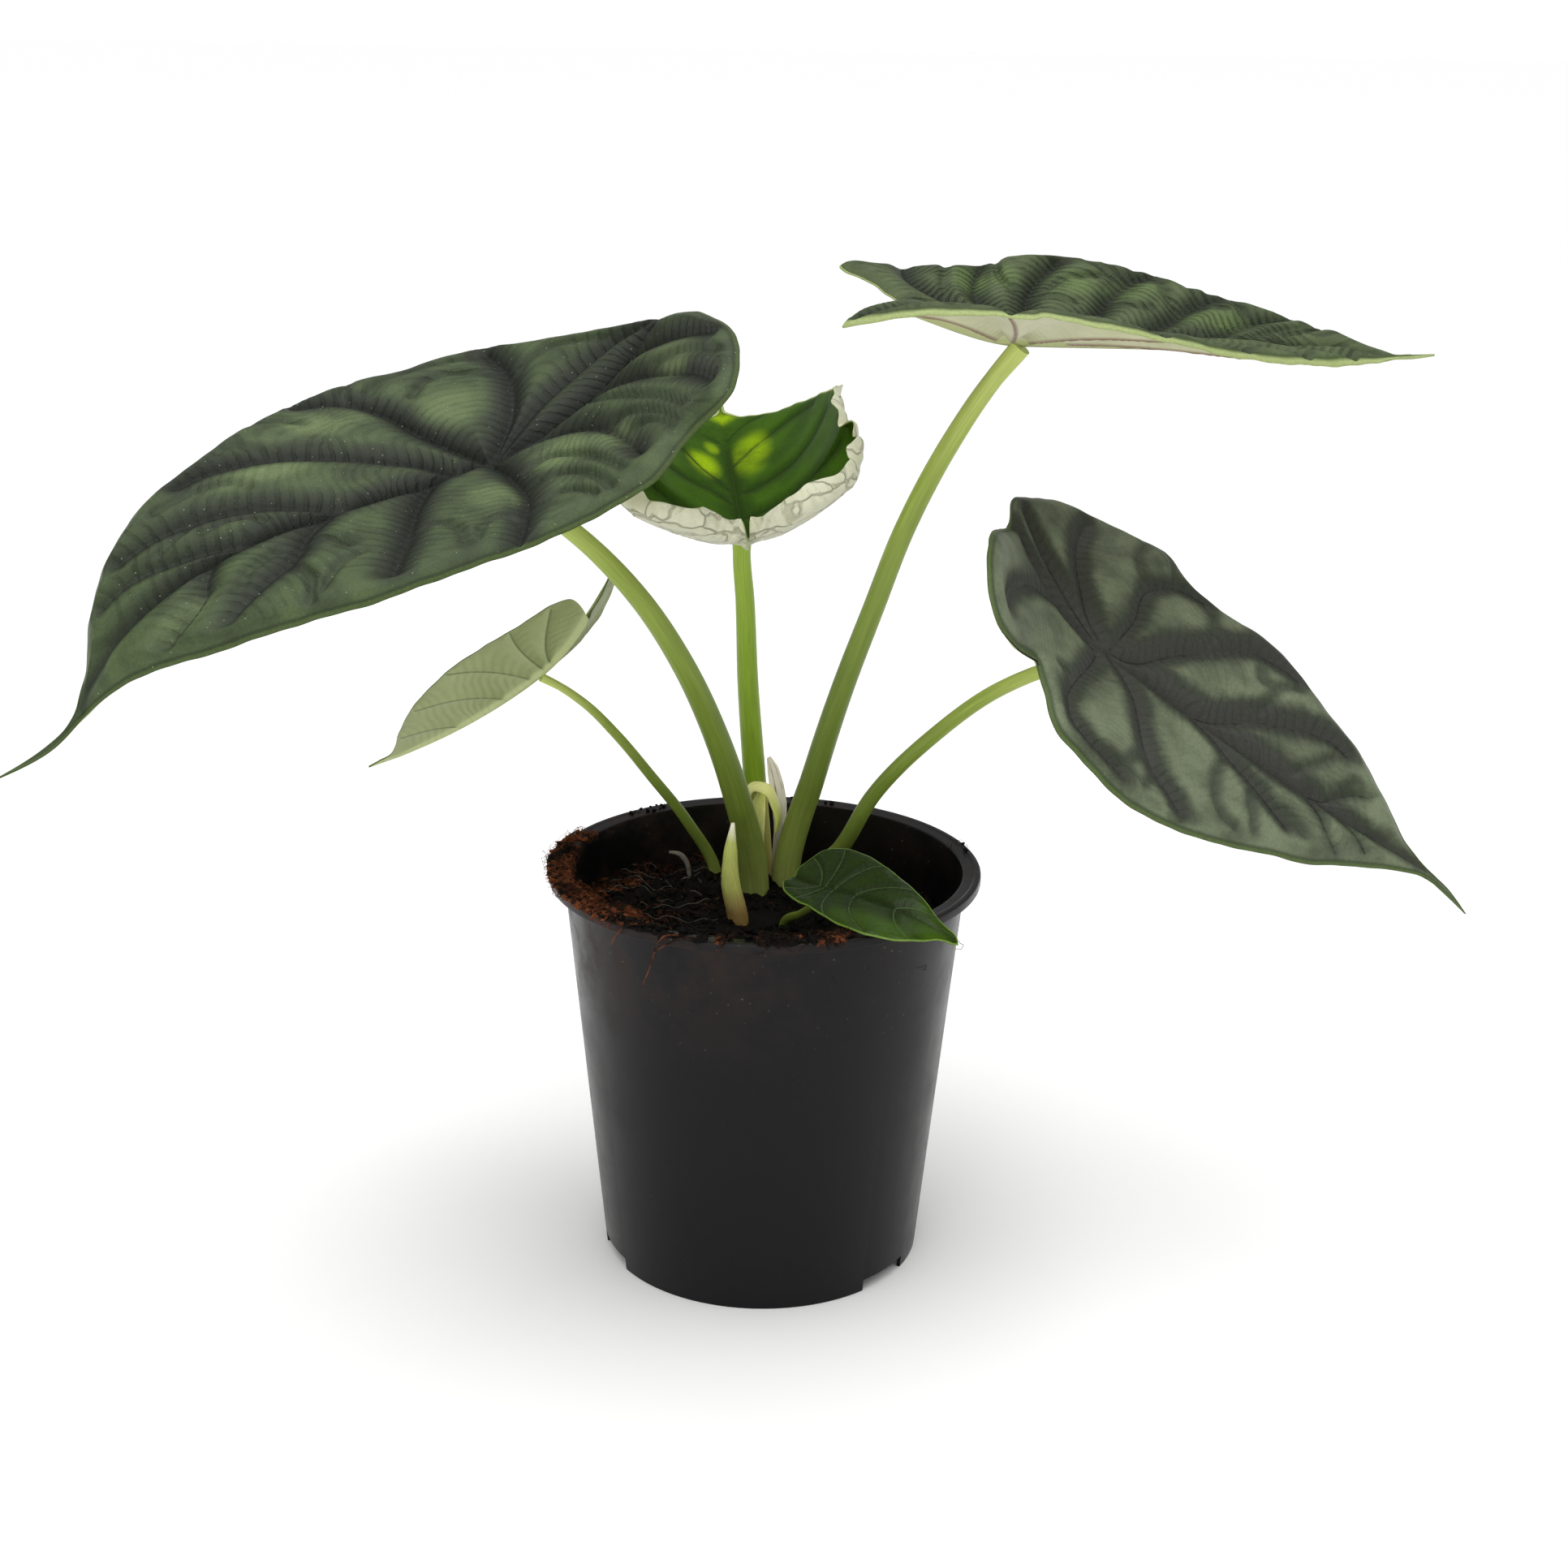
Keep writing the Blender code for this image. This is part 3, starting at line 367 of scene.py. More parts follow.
SMALL_FRONT = Leaf(
    name="small_front", joint=(17.3, -27.6, 117), heading=-40, pitch=-2, roll=16, length=40, lobe=15,
    half_width=15,
    left=((35.5, 2.5), (31, 4.5), (28, 6), (21, 9), (13, 12), (6, 14), (0, 15.3), (-5, 15.2),
          (-10, 12.5), (-12.5, 7), (-13, 2.5)),
    right=((38, 3), (35, 7), (30, 11.5), (26, 14), (20, 15.5), (14, 15), (7, 13.5), (0, 11.5),
           (-6, 9.5), (-11, 6.5), (-13, 2.5)),
    sinus=0.8,
    veins=((0.55, 0.82, 0.82), (0.22, 0.58, 0.58), (0.04, 0.25, 0.25), (-0.10, -0.35, -0.30),
           (-0.22, -0.80, -0.70)),
    pad=0.5, drip=2,
    petiole=((5.5, -4.3, 98), (10, -12, 104), (14, -20, 110)),
    radii=(1.3, 1.15, 1.05),
    droop=26, late_droop=2, lift=14, fold_left=10, fold_right=12,
)

LEAVES = (LEFT, RIGHT, TOP, BACK, SMALL_LEFT, SMALL_FRONT)


def smooth_curve(points, per_span):
    """Pass a smooth curve through uneven points."""
    points = np.asarray(points, float)
    knots = np.concatenate([[0.0], np.cumsum(np.linalg.norm(np.diff(points, axis=0), axis=1))])
    slopes = np.gradient(points, knots, axis=0)
    curve = []
    for start in range(len(points) - 1):
        span = knots[start + 1] - knots[start]
        t = np.linspace(0.0, 1.0, per_span, endpoint=False)[:, None]
        curve.append((2 * t**3 - 3 * t**2 + 1) * points[start]
                     + (t**3 - 2 * t**2 + t) * span * slopes[start]
                     + (3 * t**2 - 2 * t**3) * points[start + 1]
                     + (t**3 - t**2) * span * slopes[start + 1])
    return np.vstack(curve + [points[-1:]])


def turn(first, second, degrees):
    """Turn a pair of coordinates by an angle."""
    angle = np.radians(degrees)
    return (first * np.cos(angle) - second * np.sin(angle), first * np.sin(angle) + second * np.cos(angle))


def blade_axis(leaf, x):
    """Give the midrib's slope angle and its run and height at distances x from the joint."""
    track = np.linspace(-1.6 * leaf.lobe, 1.3 * leaf.length, AXIS_STEPS)
    late = 1.0 + leaf.late_droop * (track / leaf.length - 0.5)
    early = (1.0 + leaf.early_lift) * np.clip(1.0 + track / leaf.lobe, 0.0, 1.0)**leaf.early_lift
    bend = np.where(track > 0, -np.radians(leaf.droop) / leaf.length * late,
                    np.radians(leaf.lift) / leaf.lobe * early)
    left_over = np.clip(1.0 - (track - leaf.length) / leaf.drip, 0.0, 1.0)
    bend = np.where(track > leaf.length, -2.0 * np.radians(leaf.drip_bend) / leaf.drip * left_over, bend)
    step = track[1] - track[0]
    angle = np.concatenate([[0.0], np.cumsum(0.5 * (bend[1:] + bend[:-1]) * step)])
    angle -= np.interp(0.0, track, angle)
    runs = []
    for part in (np.cos(angle), np.sin(angle)):
        total = np.concatenate([[0.0], np.cumsum(0.5 * (part[1:] + part[:-1]) * step)])
        runs.append(total - np.interp(0.0, track, total))
    return np.interp(x, track, angle), np.interp(x, track, runs[0]), np.interp(x, track, runs[1])


def place(leaf, side, x, y):
    """Carry points of the flat blade to their place in space, side +1 left and -1 right."""
    angle, run, height = blade_axis(leaf, x)
    part = np.where(x > 0, x / leaf.length, x / leaf.lobe)
    fold = np.radians(leaf.fold_left if side > 0 else leaf.fold_right)
    half = 0 if side > 0 else 1
    fold = fold * np.where(x > 0, 1.0 - (1.0 - leaf.tip_fold) * np.minimum(part, 1.0),
                           1.0 - (1.0 - leaf.lobe_fold[half]) * np.clip(-part, 0, None)**leaf.lobe_ease[half])
    reach = np.linspace(0.0, 1.0, 16)
    slope = fold[..., None] + np.radians(leaf.cup) * reach * (y / leaf.half_width)[..., None]
    out = side * y * np.cos(slope).mean(axis=-1)
    above = y * np.sin(slope).mean(axis=-1)
    roll_over = np.where(x > 0, leaf.twist * np.minimum(part, 1.0), -leaf.lobe_twist * part)
    out, above = turn(out, above, roll_over)
    out = out + leaf.sway * leaf.length * np.clip(part, 0, None)**2
    out = out + leaf.lobe_sway * leaf.lobe * np.clip(-part, 0, None)**2
    along = run - np.sin(angle) * above
    up = height + np.cos(angle) * above
    out, up = turn(out, up, leaf.roll)
    along, up = turn(along, up, -leaf.pitch)
    along, out = turn(along, out, leaf.heading)
    return np.stack([along, out, up], axis=-1) + np.asarray(leaf.joint, float)


def blade_normals(leaf, side, x, y):
    """Give the blade's upward normals at points of the flat blade."""
    along = place(leaf, side, x + SLOPE_STEP, y) - place(leaf, side, x - SLOPE_STEP, y)
    across = place(leaf, side, x, y + SLOPE_STEP) - place(leaf, side, x, y)
    normal = np.cross(along, across * side)
    return normal / np.linalg.norm(normal, axis=-1, keepdims=True)


def midrib_normals(leaf, x):
    """Give the blade's upward normals along its midrib, the mean of both halves'."""
    y = np.zeros_like(x)
    normal = blade_normals(leaf, 1, x, y) + blade_normals(leaf, -1, x, y)
    return normal / np.linalg.norm(normal, axis=-1, keepdims=True)


def margin_curve(leaf, side):
    """Trace one half's margin from the end of the drip tip to the sinus, with its arc lengths."""
    drip = [(leaf.length + leaf.drip, 0.0), (leaf.length + 0.55 * leaf.drip, 0.9),
            (leaf.length + 0.1 * leaf.drip, 1.5)]
    outline = leaf.left if side > 0 else leaf.right
    curve = smooth_curve(drip + list(outline) + [(-leaf.sinus * leaf.lobe, 0.0)], MARGIN_STEPS)
    curve[:, 1] = np.maximum(curve[:, 1], 0.0)
    arc = np.concatenate([[0.0], np.cumsum(np.linalg.norm(np.diff(curve, axis=0), axis=1))])
    return curve, arc


# Main veins: the half, how far the dark band reaches towards the lobes and towards the tip, and places on the
# flat blade from the midrib out, measured in the photograph. Folds are the lesser veins between small pads.
LEFT_VEINS = (
    (1, 2.2, 1.6, ((0, 2), (1, 10.5), (3.5, 20), (6.5, 28.5), (13, 39), (19, 47), (23.5, 52.5))),
    (1, 2.4, 2.0, ((18, 1), (22, 5), (29, 13.5), (35, 22), (41, 30), (46.5, 37), (50.5, 42))),
    (1, 1.8, 1.4, ((46, 0.5), (54, 6.5), (59.5, 12.5), (64.5, 16.5), (70, 18.5), (75.5, 20.5), (84.5, 24))),
    (1, 0.9, 0.7, ((76, 0.5), (80, 5), (83, 10), (87, 12.5), (97, 15.5))),
    (1, 1.4, 1.2, ((-2, 2), (-10.5, 2.5), (-16, 5), (-20, 9), (-23.5, 16), (-23.5, 26), (-21.5, 37),
                   (-18.5, 47))),
    (1, 1.4, 1.2, ((-14, 1), (-24, 1), (-32, 1.5), (-38, 5), (-43, 13), (-45.5, 25), (-46.5, 37), (-45, 50))),
    (1, 1.4, 1.2, ((-38, 0.5), (-46, 1.5), (-52, 5), (-56.5, 13), (-59, 24), (-60, 36))),
    (-1, 2.6, 2.2, ((0, 1.5), (2, 14), (4, 27.5), (5, 41.5), (8.5, 50.5), (15, 56), (24, 57.5))),
    (-1, 1.8, 2.2, ((10, 3), (13, 11), (18.5, 17.5), (24.5, 23.5), (31, 28), (38, 32), (46, 34.5), (54, 35.5),
                    (61, 35.5), (67, 34))),
    (-1, 1.6, 2.0, ((40.5, 0.5), (48.5, 8), (54.5, 12.5), (60, 15), (70.5, 18), (81.5, 19.5), (90, 19))),
    (-1, 1.2, 1.4, ((66.5, 1), (73.5, 5), (81.5, 8), (92, 11.5), (100, 11.5))),
    (-1, 2.2, 2.6, ((-2, 1), (-10.5, 8.5), (-19, 17), (-26, 27), (-30.5, 37.5), (-33, 50))),
    (-1, 2.6, 1.6, ((-3, 1), (-15, 8), (-26, 12.5), (-35, 13.5), (-44, 13), (-52, 11), (-60, 5))),
)
LEFT_FOLDS = (
    (-1, ((-27.5, 29), (-36, 32), (-42, 30.5), (-47.5, 23.5), (-51.5, 15))),
    (-1, ((-4.5, 44), (-12.5, 49.5), (-18.5, 48.5), (-23.5, 43), (-27, 37))),
    (-1, ((3, 53.5), (-4.5, 58), (-13, 58), (-22, 55), (-28.5, 50))),
    (-1, ((9, 50), (9.5, 57), (4.5, 62))),
    (-1, ((43.5, 36), (46.5, 41.5), (48.5, 43.5), (53.5, 41.5))),
    (-1, ((28, 46), (33, 50), (40, 52))),
    (-1, ((54, 22), (57, 26), (62.5, 27.5), (69, 27.5), (76.5, 26.5))),
    (-1, ((59, 6), (60.5, 9), (64, 11), (72, 11.5))),
    (-1, ((70.5, 18), (75.5, 15), (82, 13))),
    (1, ((64.5, 17), (64, 22), (64, 27.5), (66, 32.5), (69.5, 38))),
    (1, ((60, 14), (55.5, 11.5), (52, 15), (50.5, 22))),
    (1, ((66, 36.5), (59.5, 31), (55, 28), (50.5, 28))),
    (1, ((40.5, 31), (35.5, 26), (30.5, 27), (29, 34), (33, 45.5))),
    (1, ((30, 45), (23.5, 38), (19, 37.5), (16, 42))),
    (1, ((4, 26.5), (-2.5, 30), (-6, 36.5), (-6, 45.5), (-4, 53))),
    (1, ((10.5, 39), (4, 40), (0.5, 44), (-0.5, 51.5))),
    (1, ((-1, 18), (-7.5, 19), (-12, 28), (-12.5, 38.5), (-11, 50))),
    (1, ((-30.5, 5), (-33.5, 13), (-36, 26.5), (-36.5, 38.5), (-35, 48.5))),
    (1, ((-25, 23), (-29.5, 27), (-31.5, 34.5), (-31.5, 45), (-30, 51.5))),
    (1, ((-21.5, 34), (-26, 36), (-29, 42), (-28, 52))),
    (1, ((-47.5, 18), (-51.5, 24.5), (-53, 33.5), (-53.5, 46.5))),
    (1, ((63, 9.5), (67, 11), (72, 12.5), (77, 17))),
)
RIGHT_VEINS = (
    (1, 1.8, 1.8, ((1.5, 2.5), (2.5, 11), (3, 18), (2, 23), (1.5, 27.5), (4, 33), (8, 37), (12, 38),
                   (17, 38))),
    (1, 6.0, 1.2, ((2.5, 1.5), (6.5, 2.5), (9.5, 4.5), (13.5, 10), (17.5, 15.5), (23, 21), (30.5, 28.5),
                   (35.5, 32), (40, 32.5), (45, 32.5), (49.5, 31.5))),
    (1, 5.6, 1.6, ((30, 0.5), (32.5, 1.5), (38, 5.5), (44.5, 11.5), (51.5, 15), (59, 18.5), (65, 19.5),
                   (70.5, 18))),
    (1, 2.4, 1.6, ((66.5, 0.3), (69.5, 1), (73, 5), (76.5, 8.5), (80.5, 10.5))),
    (1, 3.6, 3.2, ((-2.5, 3), (-8.5, 7), (-13, 12.5), (-17.5, 19), (-20.5, 26), (-21.5, 36))),
    (1, 2.6, 4.0, ((-4, 1.5), (-10.5, 4), (-18, 6.5), (-24, 8), (-30, 9.5), (-38, 11))),
    (-1, 2.2, 1.8, ((-1, 4), (-1, 8), (-2.5, 19.5), (-2.5, 30.5), (1, 35.5), (6.5, 37.5), (12.5, 38),
                    (19, 38.5))),
    (-1, 2.6, 2.8, ((3, 1), (7, 3.5), (12.5, 8.5), (17, 16), (21, 23), (25.5, 28), (32.5, 31.5), (37, 34))),
    (-1, 1.6, 1.8, ((31, 0.5), (36.5, 2), (42.5, 5), (48.5, 7), (54.5, 9.5), (59, 11.5), (64.5, 14))),
    (-1, 1.2, 1.2, ((66.5, 0.5), (71, 3), (75, 7), (79.5, 11))),
    (-1, 1.0, 1.0, ((77, 0.5), (83, 2.5), (86.5, 5.5))),
    (-1, 1.8, 1.6, ((-2.5, 2), (-7.5, 1), (-13.5, 1), (-18.5, 1.5), (-24, 6), (-28.5, 17), (-31, 30),
                    (-30.5, 37.5))),
)
RIGHT_FOLDS = (
    (1, ((-5, 47), (-1, 47.5), (2.5, 45.5), (5, 42), (7.5, 38))),
    (1, ((-4.5, 45.5), (-4.5, 39.5), (-3, 35.5), (0.5, 32))),
    (1, ((18.5, 37), (20.5, 34.5), (22.5, 29), (23, 23))),
    (1, ((38.5, 27), (40.5, 24.5), (42.5, 24.5))),
    (1, ((43.5, 14), (44.5, 21), (45, 25), (50.5, 29.5))),
    (1, ((59.5, 3.5), (61.5, 7.5), (64.5, 11.5), (67, 15.5))),
    (1, ((72, 4), (73, 8), (75, 11.5))),
    (-1, ((41.5, 6.5), (41.5, 15.5), (43.5, 21.5), (47.5, 25.5), (52, 26))),
    (-1, ((52, 9.5), (52, 13.5), (54.5, 18), (57, 23))),
    (-1, ((17.5, 37.5), (19, 32), (21, 26.5))),
    (-1, ((25.5, 36), (26.5, 32), (28, 28.5))),
    (-1, ((-9.5, 23.5), (-4.5, 23), (-2.5, 20.5))),
    (-1, ((61, 10), (65.5, 11), (69, 13))),
)
TOP_VEINS = (
    (1, 1.2, 1.0, ((0.5, 2), (2, 13), (3, 20.5), (5.5, 27.5), (9.5, 34), (12.5, 39))),
    (1, 1.2, 1.0, ((15, 2), (22.5, 16), (24.5, 20.5), (28, 26), (33, 32), (38, 35))),
    (1, 1.2, 1.0, ((31, 2), (38, 9), (42.5, 13.5), (48, 20), (54, 25), (58, 26.5))),
    (1, 1.0, 0.8, ((50, 1), (56, 8), (64.5, 14), (73, 17))),
    (1, 1.4, 1.2, ((-2, 2), (-8, 11), (-12, 21.5), (-12, 30.5), (-10, 38))),
    (1, 1.4, 1.2, ((-5.5, 2), (-16.5, 9), (-25.5, 15), (-30, 23), (-31.5, 32))),
)
TOP_FOLDS = (
    (1, ((28, 26), (26.5, 32), (23.5, 37.5), (21.5, 40))), (1, ((32.5, 28), (29.5, 33), (26.5, 38.5))),
    (1, ((39.5, 30), (35.5, 34), (32.5, 38.5))), (1, ((9, 25), (14, 30.5), (19.5, 31.5), (26, 32))),
    (1, ((49.5, 18.5), (49, 25.5), (46.5, 31))), (1, ((55, 18), (54, 24.5), (52, 29))),
    (1, ((60.5, 16), (59.5, 21), (58, 26.5))), (1, ((42, 16), (41, 21), (40, 32.5))),
    (1, ((-20, 12), (-21, 20), (-20, 36))), (1, ((0, 24), (-4, 30), (-5, 40))),
    (1, ((16, 18), (10, 20), (5, 22))), (1, ((35, 16), (30, 18), (26, 22))),
    (1, ((70, 5), (77, 8), (82, 11))), (1, ((62, 4), (70, 8), (80, 12))),
)
BACK_VEINS = (
    (-1, 0.8, 0.8, ((24, 0.5), (22.5, 6), (22, 12.5), (21.5, 18.5), (24, 27), (30, 36))),
    (-1, 0.8, 0.8, ((66, 0.5), (70, 3), (74, 8), (73, 16))),
    (-1, 0.8, 0.8, ((45, 0.5), (54, 11), (55, 20), (48, 31))),
    (-1, 0.8, 0.8, ((6, 0.5), (3, 9.5), (1, 20), (-3, 34))),
    (-1, 0.8, 0.8, ((-6, 1), (-18, 8), (-28, 17), (-34, 28))),
    (1, 0.8, 0.8, ((26.5, 1.5), (33, 6), (38.5, 10.5), (44.5, 14), (52, 24))),
    (1, 0.8, 0.8, ((15.5, 1), (21.5, 6.5), (22, 17.5), (22, 34))),
    (1, 0.8, 0.8, ((62, 0.5), (66, 6), (68, 14))),
    (1, 0.8, 0.8, ((2, 0.5), (-3, 14), (-5, 32))),
    (1, 0.8, 0.8, ((-6, 1), (-18, 8), (-28, 17), (-34, 28))),
)
BAND_TAPER = 0.4

# Painted glow, brighter patches painted as light: sheen on the pads, light coming through the blade and a
# blade's lit half. Each is the half, the middle of a patch on the flat blade, and how far it reaches each way
LEFT_PAINTED_GLOW = ((1, 90, 13, 9, 5), (1, -50, 24, 8, 10), (1, -22, 30, 7, 9), (1, -10, 22, 9, 9),
             (1, 14, 24, 9, 10), (-1, -9, 30, 9, 11), (-1, 26, 42, 14, 7), (-1, 49, 25, 13, 5))
TOP_PAINTED_GLOW = ((1, 14, 27, 8, 8), (1, 32, 25, 8, 7), (1, 52, 12, 10, 6), (1, -14, 30, 7, 9), (1, -3, 30, 5, 6))
BACK_PAINTED_GLOW = ((-1, 48, 7.5, 16, 6.5), (1, 41, 9, 10, 5.5), (1, 56.5, 5.5, 5, 2.6), (1, 88, 0, 9, 6),
             (-1, 88, 0, 9, 6))


@dataclass
class Sheet:
    """The looks of one blade: its grid step, finishes and record slot, and its veins.

    dome is how far from a vein a pad reaches its full height, and spine how wide the midrib's dark band is in
    front of and behind the joint, on the left and right half. strips is how wide the green margin is on the
    left and right half, ripple how far the margins wave, puff how much fuller the pads are than the plain
    blade's, curl how wide a margin rolls up and by how many degrees, and flutter how far the margins of the
    lobes wave.
    """

    leaf: Leaf
    step: float
    upper: str
    under: str
    slot: str
    dome: float
    spine: tuple
    strips: tuple
    veins: tuple = ()
    folds: tuple = ()
    painted_glow: tuple = ()
    ripple: float = 0.2
    puff: float = 1.0
    curl: tuple = (0.0, 0.0)
    flutter: float = 0.0


SHEETS = (
    Sheet(LEFT, 1.05, "dark_leaf", "pale_underside", "dark_green_blade", dome=8.5,
          spine=((3.0, 3.4), (3.0, 3.4)), strips=(1.4, 0.9), veins=LEFT_VEINS, folds=LEFT_FOLDS,
          painted_glow=LEFT_PAINTED_GLOW),
    Sheet(RIGHT, 0.8, "silver_leaf", "pale_underside", "silver_green_blade", dome=6.0,
          spine=((6.5, 4.5), (2.6, 3.0)), strips=(0.8, 1.6), veins=RIGHT_VEINS, folds=RIGHT_FOLDS),
    Sheet(TOP, 0.8, "ribbed_leaf", "pale_underside", "dark_green_blade", dome=8.0,
          spine=((1.0, 1.0), (1.0, 1.0)), strips=(0.3, 2.6), veins=TOP_VEINS, folds=TOP_FOLDS, painted_glow=TOP_PAINTED_GLOW,
          ripple=0.25, puff=1.35),
    Sheet(BACK, 0.8, "backlit_leaf", "crinkled_underside", "dark_green_blade", dome=7.0,
          spine=((1.2, 2.0), (1.2, 2.0)), strips=(2.0, 2.0), veins=BACK_VEINS, painted_glow=BACK_PAINTED_GLOW, ripple=0.3,
          puff=0.25, curl=(8.0, 100.0), flutter=0.6),
    Sheet(SMALL_LEFT, 0.6, "olive_leaf", "sage_underside", "silver_green_blade", dome=4.5,
          spine=((0.4, 0.4), (0.4, 0.4)), strips=(0.5, 0.5),
          painted_glow=((1, 12, 8, 70, 50), (-1, -20, 10, 24, 22))),
    Sheet(SMALL_FRONT, 0.5, "young_leaf", "sage_underside", "young_green_blade", dome=3.6,
          spine=((0.3, 0.3), (0.3, 0.3)), strips=(0.6, 0.6),
          painted_glow=((-1, 24, 11, 16, 6), (-1, 34, 3, 8, 5), (1, 34, 4, 9, 5)), ripple=0.3),
)


def linear(hex_colour):
    """Turn an sRGB hex colour to linear light."""
    parts = [int(hex_colour[i:i + 2], 16) / 255 for i in (1, 3, 5)]
    return (*(p / 12.92 if p <= 0.04045 else ((p + 0.055) / 1.055)**2.4 for p in parts), 1.0)


def add(tree, kind, inputs=None, **settings):
    """Add a node with its settings and inputs."""
    fresh = tree.nodes.new(kind)
    for name, value in settings.items():
        setattr(fresh, name, value)
    fill(tree, fresh, inputs or {})
    return fresh


def fill(tree, node, inputs):
    """Fill a node's inputs. Each is a value, an output to link, or a node whose first output to link."""
    for socket, value in inputs.items():
        if isinstance(value, bpy.types.Node):
            value = value.outputs[0]
        if isinstance(value, bpy.types.NodeSocket):
            tree.links.new(value, node.inputs[socket])
        else:
            node.inputs[socket].default_value = value


# Finishes

@dataclass
class Skin:
    """The colours and widths of one blade's upper face. Widths are in millimetres.

    A pad is dark on its flanks, starts to pale middle_start past the dark band and is palest at middle_full.
    The bands along the veins blur over band_blur, and patchy is how far their edges wander. A fold takes
    fold_share of the paleness over fold_width. A green strip follows the margin and ends in the rim's colour.
    Fine ribs stand rib_gap apart, ribs is how strong they are in relief and in colour, where their grooves
    are darkened as fine veinlets and as painted shade, specks how pale the dried drops of water are and shine
    the shader's specular level.
    """

    middle: str
    flank: str
    band: str
    vein: str
    strip: str
    rim: str
    painted_glow: str
    middle_start: float
    middle_full: float
    band_blur: float
    fold_width: float
    fold_share: float
    vein_width: float
    rib_gap: float
    ribs: float
    patchy: float
    specks: float
    roughness: float
    shine: float = LEAF_SHINE


# A skin's painted_glow is the colour of its brighter patches, which are painted light: sheen, light coming
# through the blade and a lit half
DARK_SKIN = Skin(
    middle="#485537", flank="#292f25", band="#151912", vein="#10130c", strip="#242b1b", rim="#46542f",
    painted_glow="#606e49", middle_start=0.6, middle_full=7.0, band_blur=1.9, fold_width=2.8, fold_share=0.55,
    vein_width=0.22, rib_gap=3.2, ribs=0.9, patchy=3.6, specks=0.5, roughness=0.42)
SILVER_SKIN = Skin(
    middle="#6a735b", flank="#343a2e", band="#3a3a36", vein="#1e1f1b", strip="#2d3822", rim="#4f5e36",
    painted_glow="#6f785f", middle_start=0.4, middle_full=5.2, band_blur=2.9, fold_width=2.4, fold_share=0.75,
    vein_width=0.25, rib_gap=2.6, ribs=0.45, patchy=5.5, specks=0.15, roughness=0.40)
RIBBED_SKIN = Skin(
    middle="#4f5b3b", flank="#2b3422", band="#181d13", vein="#171a11", strip="#34421f", rim="#9aa76e",
    painted_glow="#586b3d", middle_start=0.2, middle_full=6.0, band_blur=1.7, fold_width=2.4, fold_share=0.5,
    vein_width=0.25, rib_gap=2.3, ribs=1.6, patchy=3.0, specks=0.0, roughness=0.42)
BACKLIT_SKIN = Skin(
    middle="#3a5a0e", flank="#27400a", band="#23370a", vein="#1d2f09", strip="#33500d", rim="#a9b07c",
    painted_glow="#86a408", middle_start=0.0, middle_full=6.0, band_blur=1.3, fold_width=2.2, fold_share=0.5,
    vein_width=0.3, rib_gap=2.4, ribs=0.15, patchy=8.0, specks=0.0, roughness=0.5, shine=0.03)
OLIVE_SKIN = Skin(
    middle="#7f8a47", flank="#6e793d", band="#4a5828", vein="#3d4a20", strip="#7f8c50", rim="#4d5c2a",
    painted_glow="#8b9564", middle_start=0.0, middle_full=2.4, band_blur=0.3, fold_width=0.8, fold_share=0.5,
    vein_width=0.22, rib_gap=1.4, ribs=0.12, patchy=1.0, specks=0.0, roughness=0.45)
YOUNG_SKIN = Skin(
    middle="#22340d", flank="#1a2709", band="#1b2909", vein="#41592a", strip="#33500f", rim="#6c8639",
    painted_glow="#36500e", middle_start=0.0, middle_full=2.8, band_blur=0.5, fold_width=0.5, fold_share=0.3,
    vein_width=0.16, rib_gap=1.6, ribs=0.2, patchy=1.6, specks=0.0, roughness=0.24)


def new_finish(name):
    """Start a material, and give it with its tree and its shader."""
    material = bpy.data.materials.new(name)
    material.use_nodes = True
    return material, material.node_tree, material.node_tree.nodes["Principled BSDF"]


def dark_leaf():
    """Dragon scale blade: satin skin over dark tissue, soft pale pads, near-black bands at the veins."""
    return leaf_face("alocasia_blade_dark", DARK_SKIN)


def silver_leaf():
    """Dragon scale blade, silver form: faint metallic grey-green bloom on the pads, charcoal veins."""
    return leaf_face("alocasia_blade_silver", SILVER_SKIN)


def ribbed_leaf():
    """Dragon scale blade seen along its face: dark domed pads with strong fine ribs and a pale green rim."""
    return leaf_face("alocasia_blade_ribbed", RIBBED_SKIN)


def backlit_leaf():
    """Dragon scale blade with light coming through it: green, bright yellow-green by the midrib."""
    return leaf_face("alocasia_blade_backlit", BACKLIT_SKIN)


def olive_leaf():
    """Young dragon scale blade: soft olive tissue without strong bands."""
    return leaf_face("alocasia_blade_olive", OLIVE_SKIN)


def young_leaf():
    """Newest blade: smooth and glossy, fresh deep green with fine paler veins."""
    return leaf_face("alocasia_blade_young", YOUNG_SKIN)


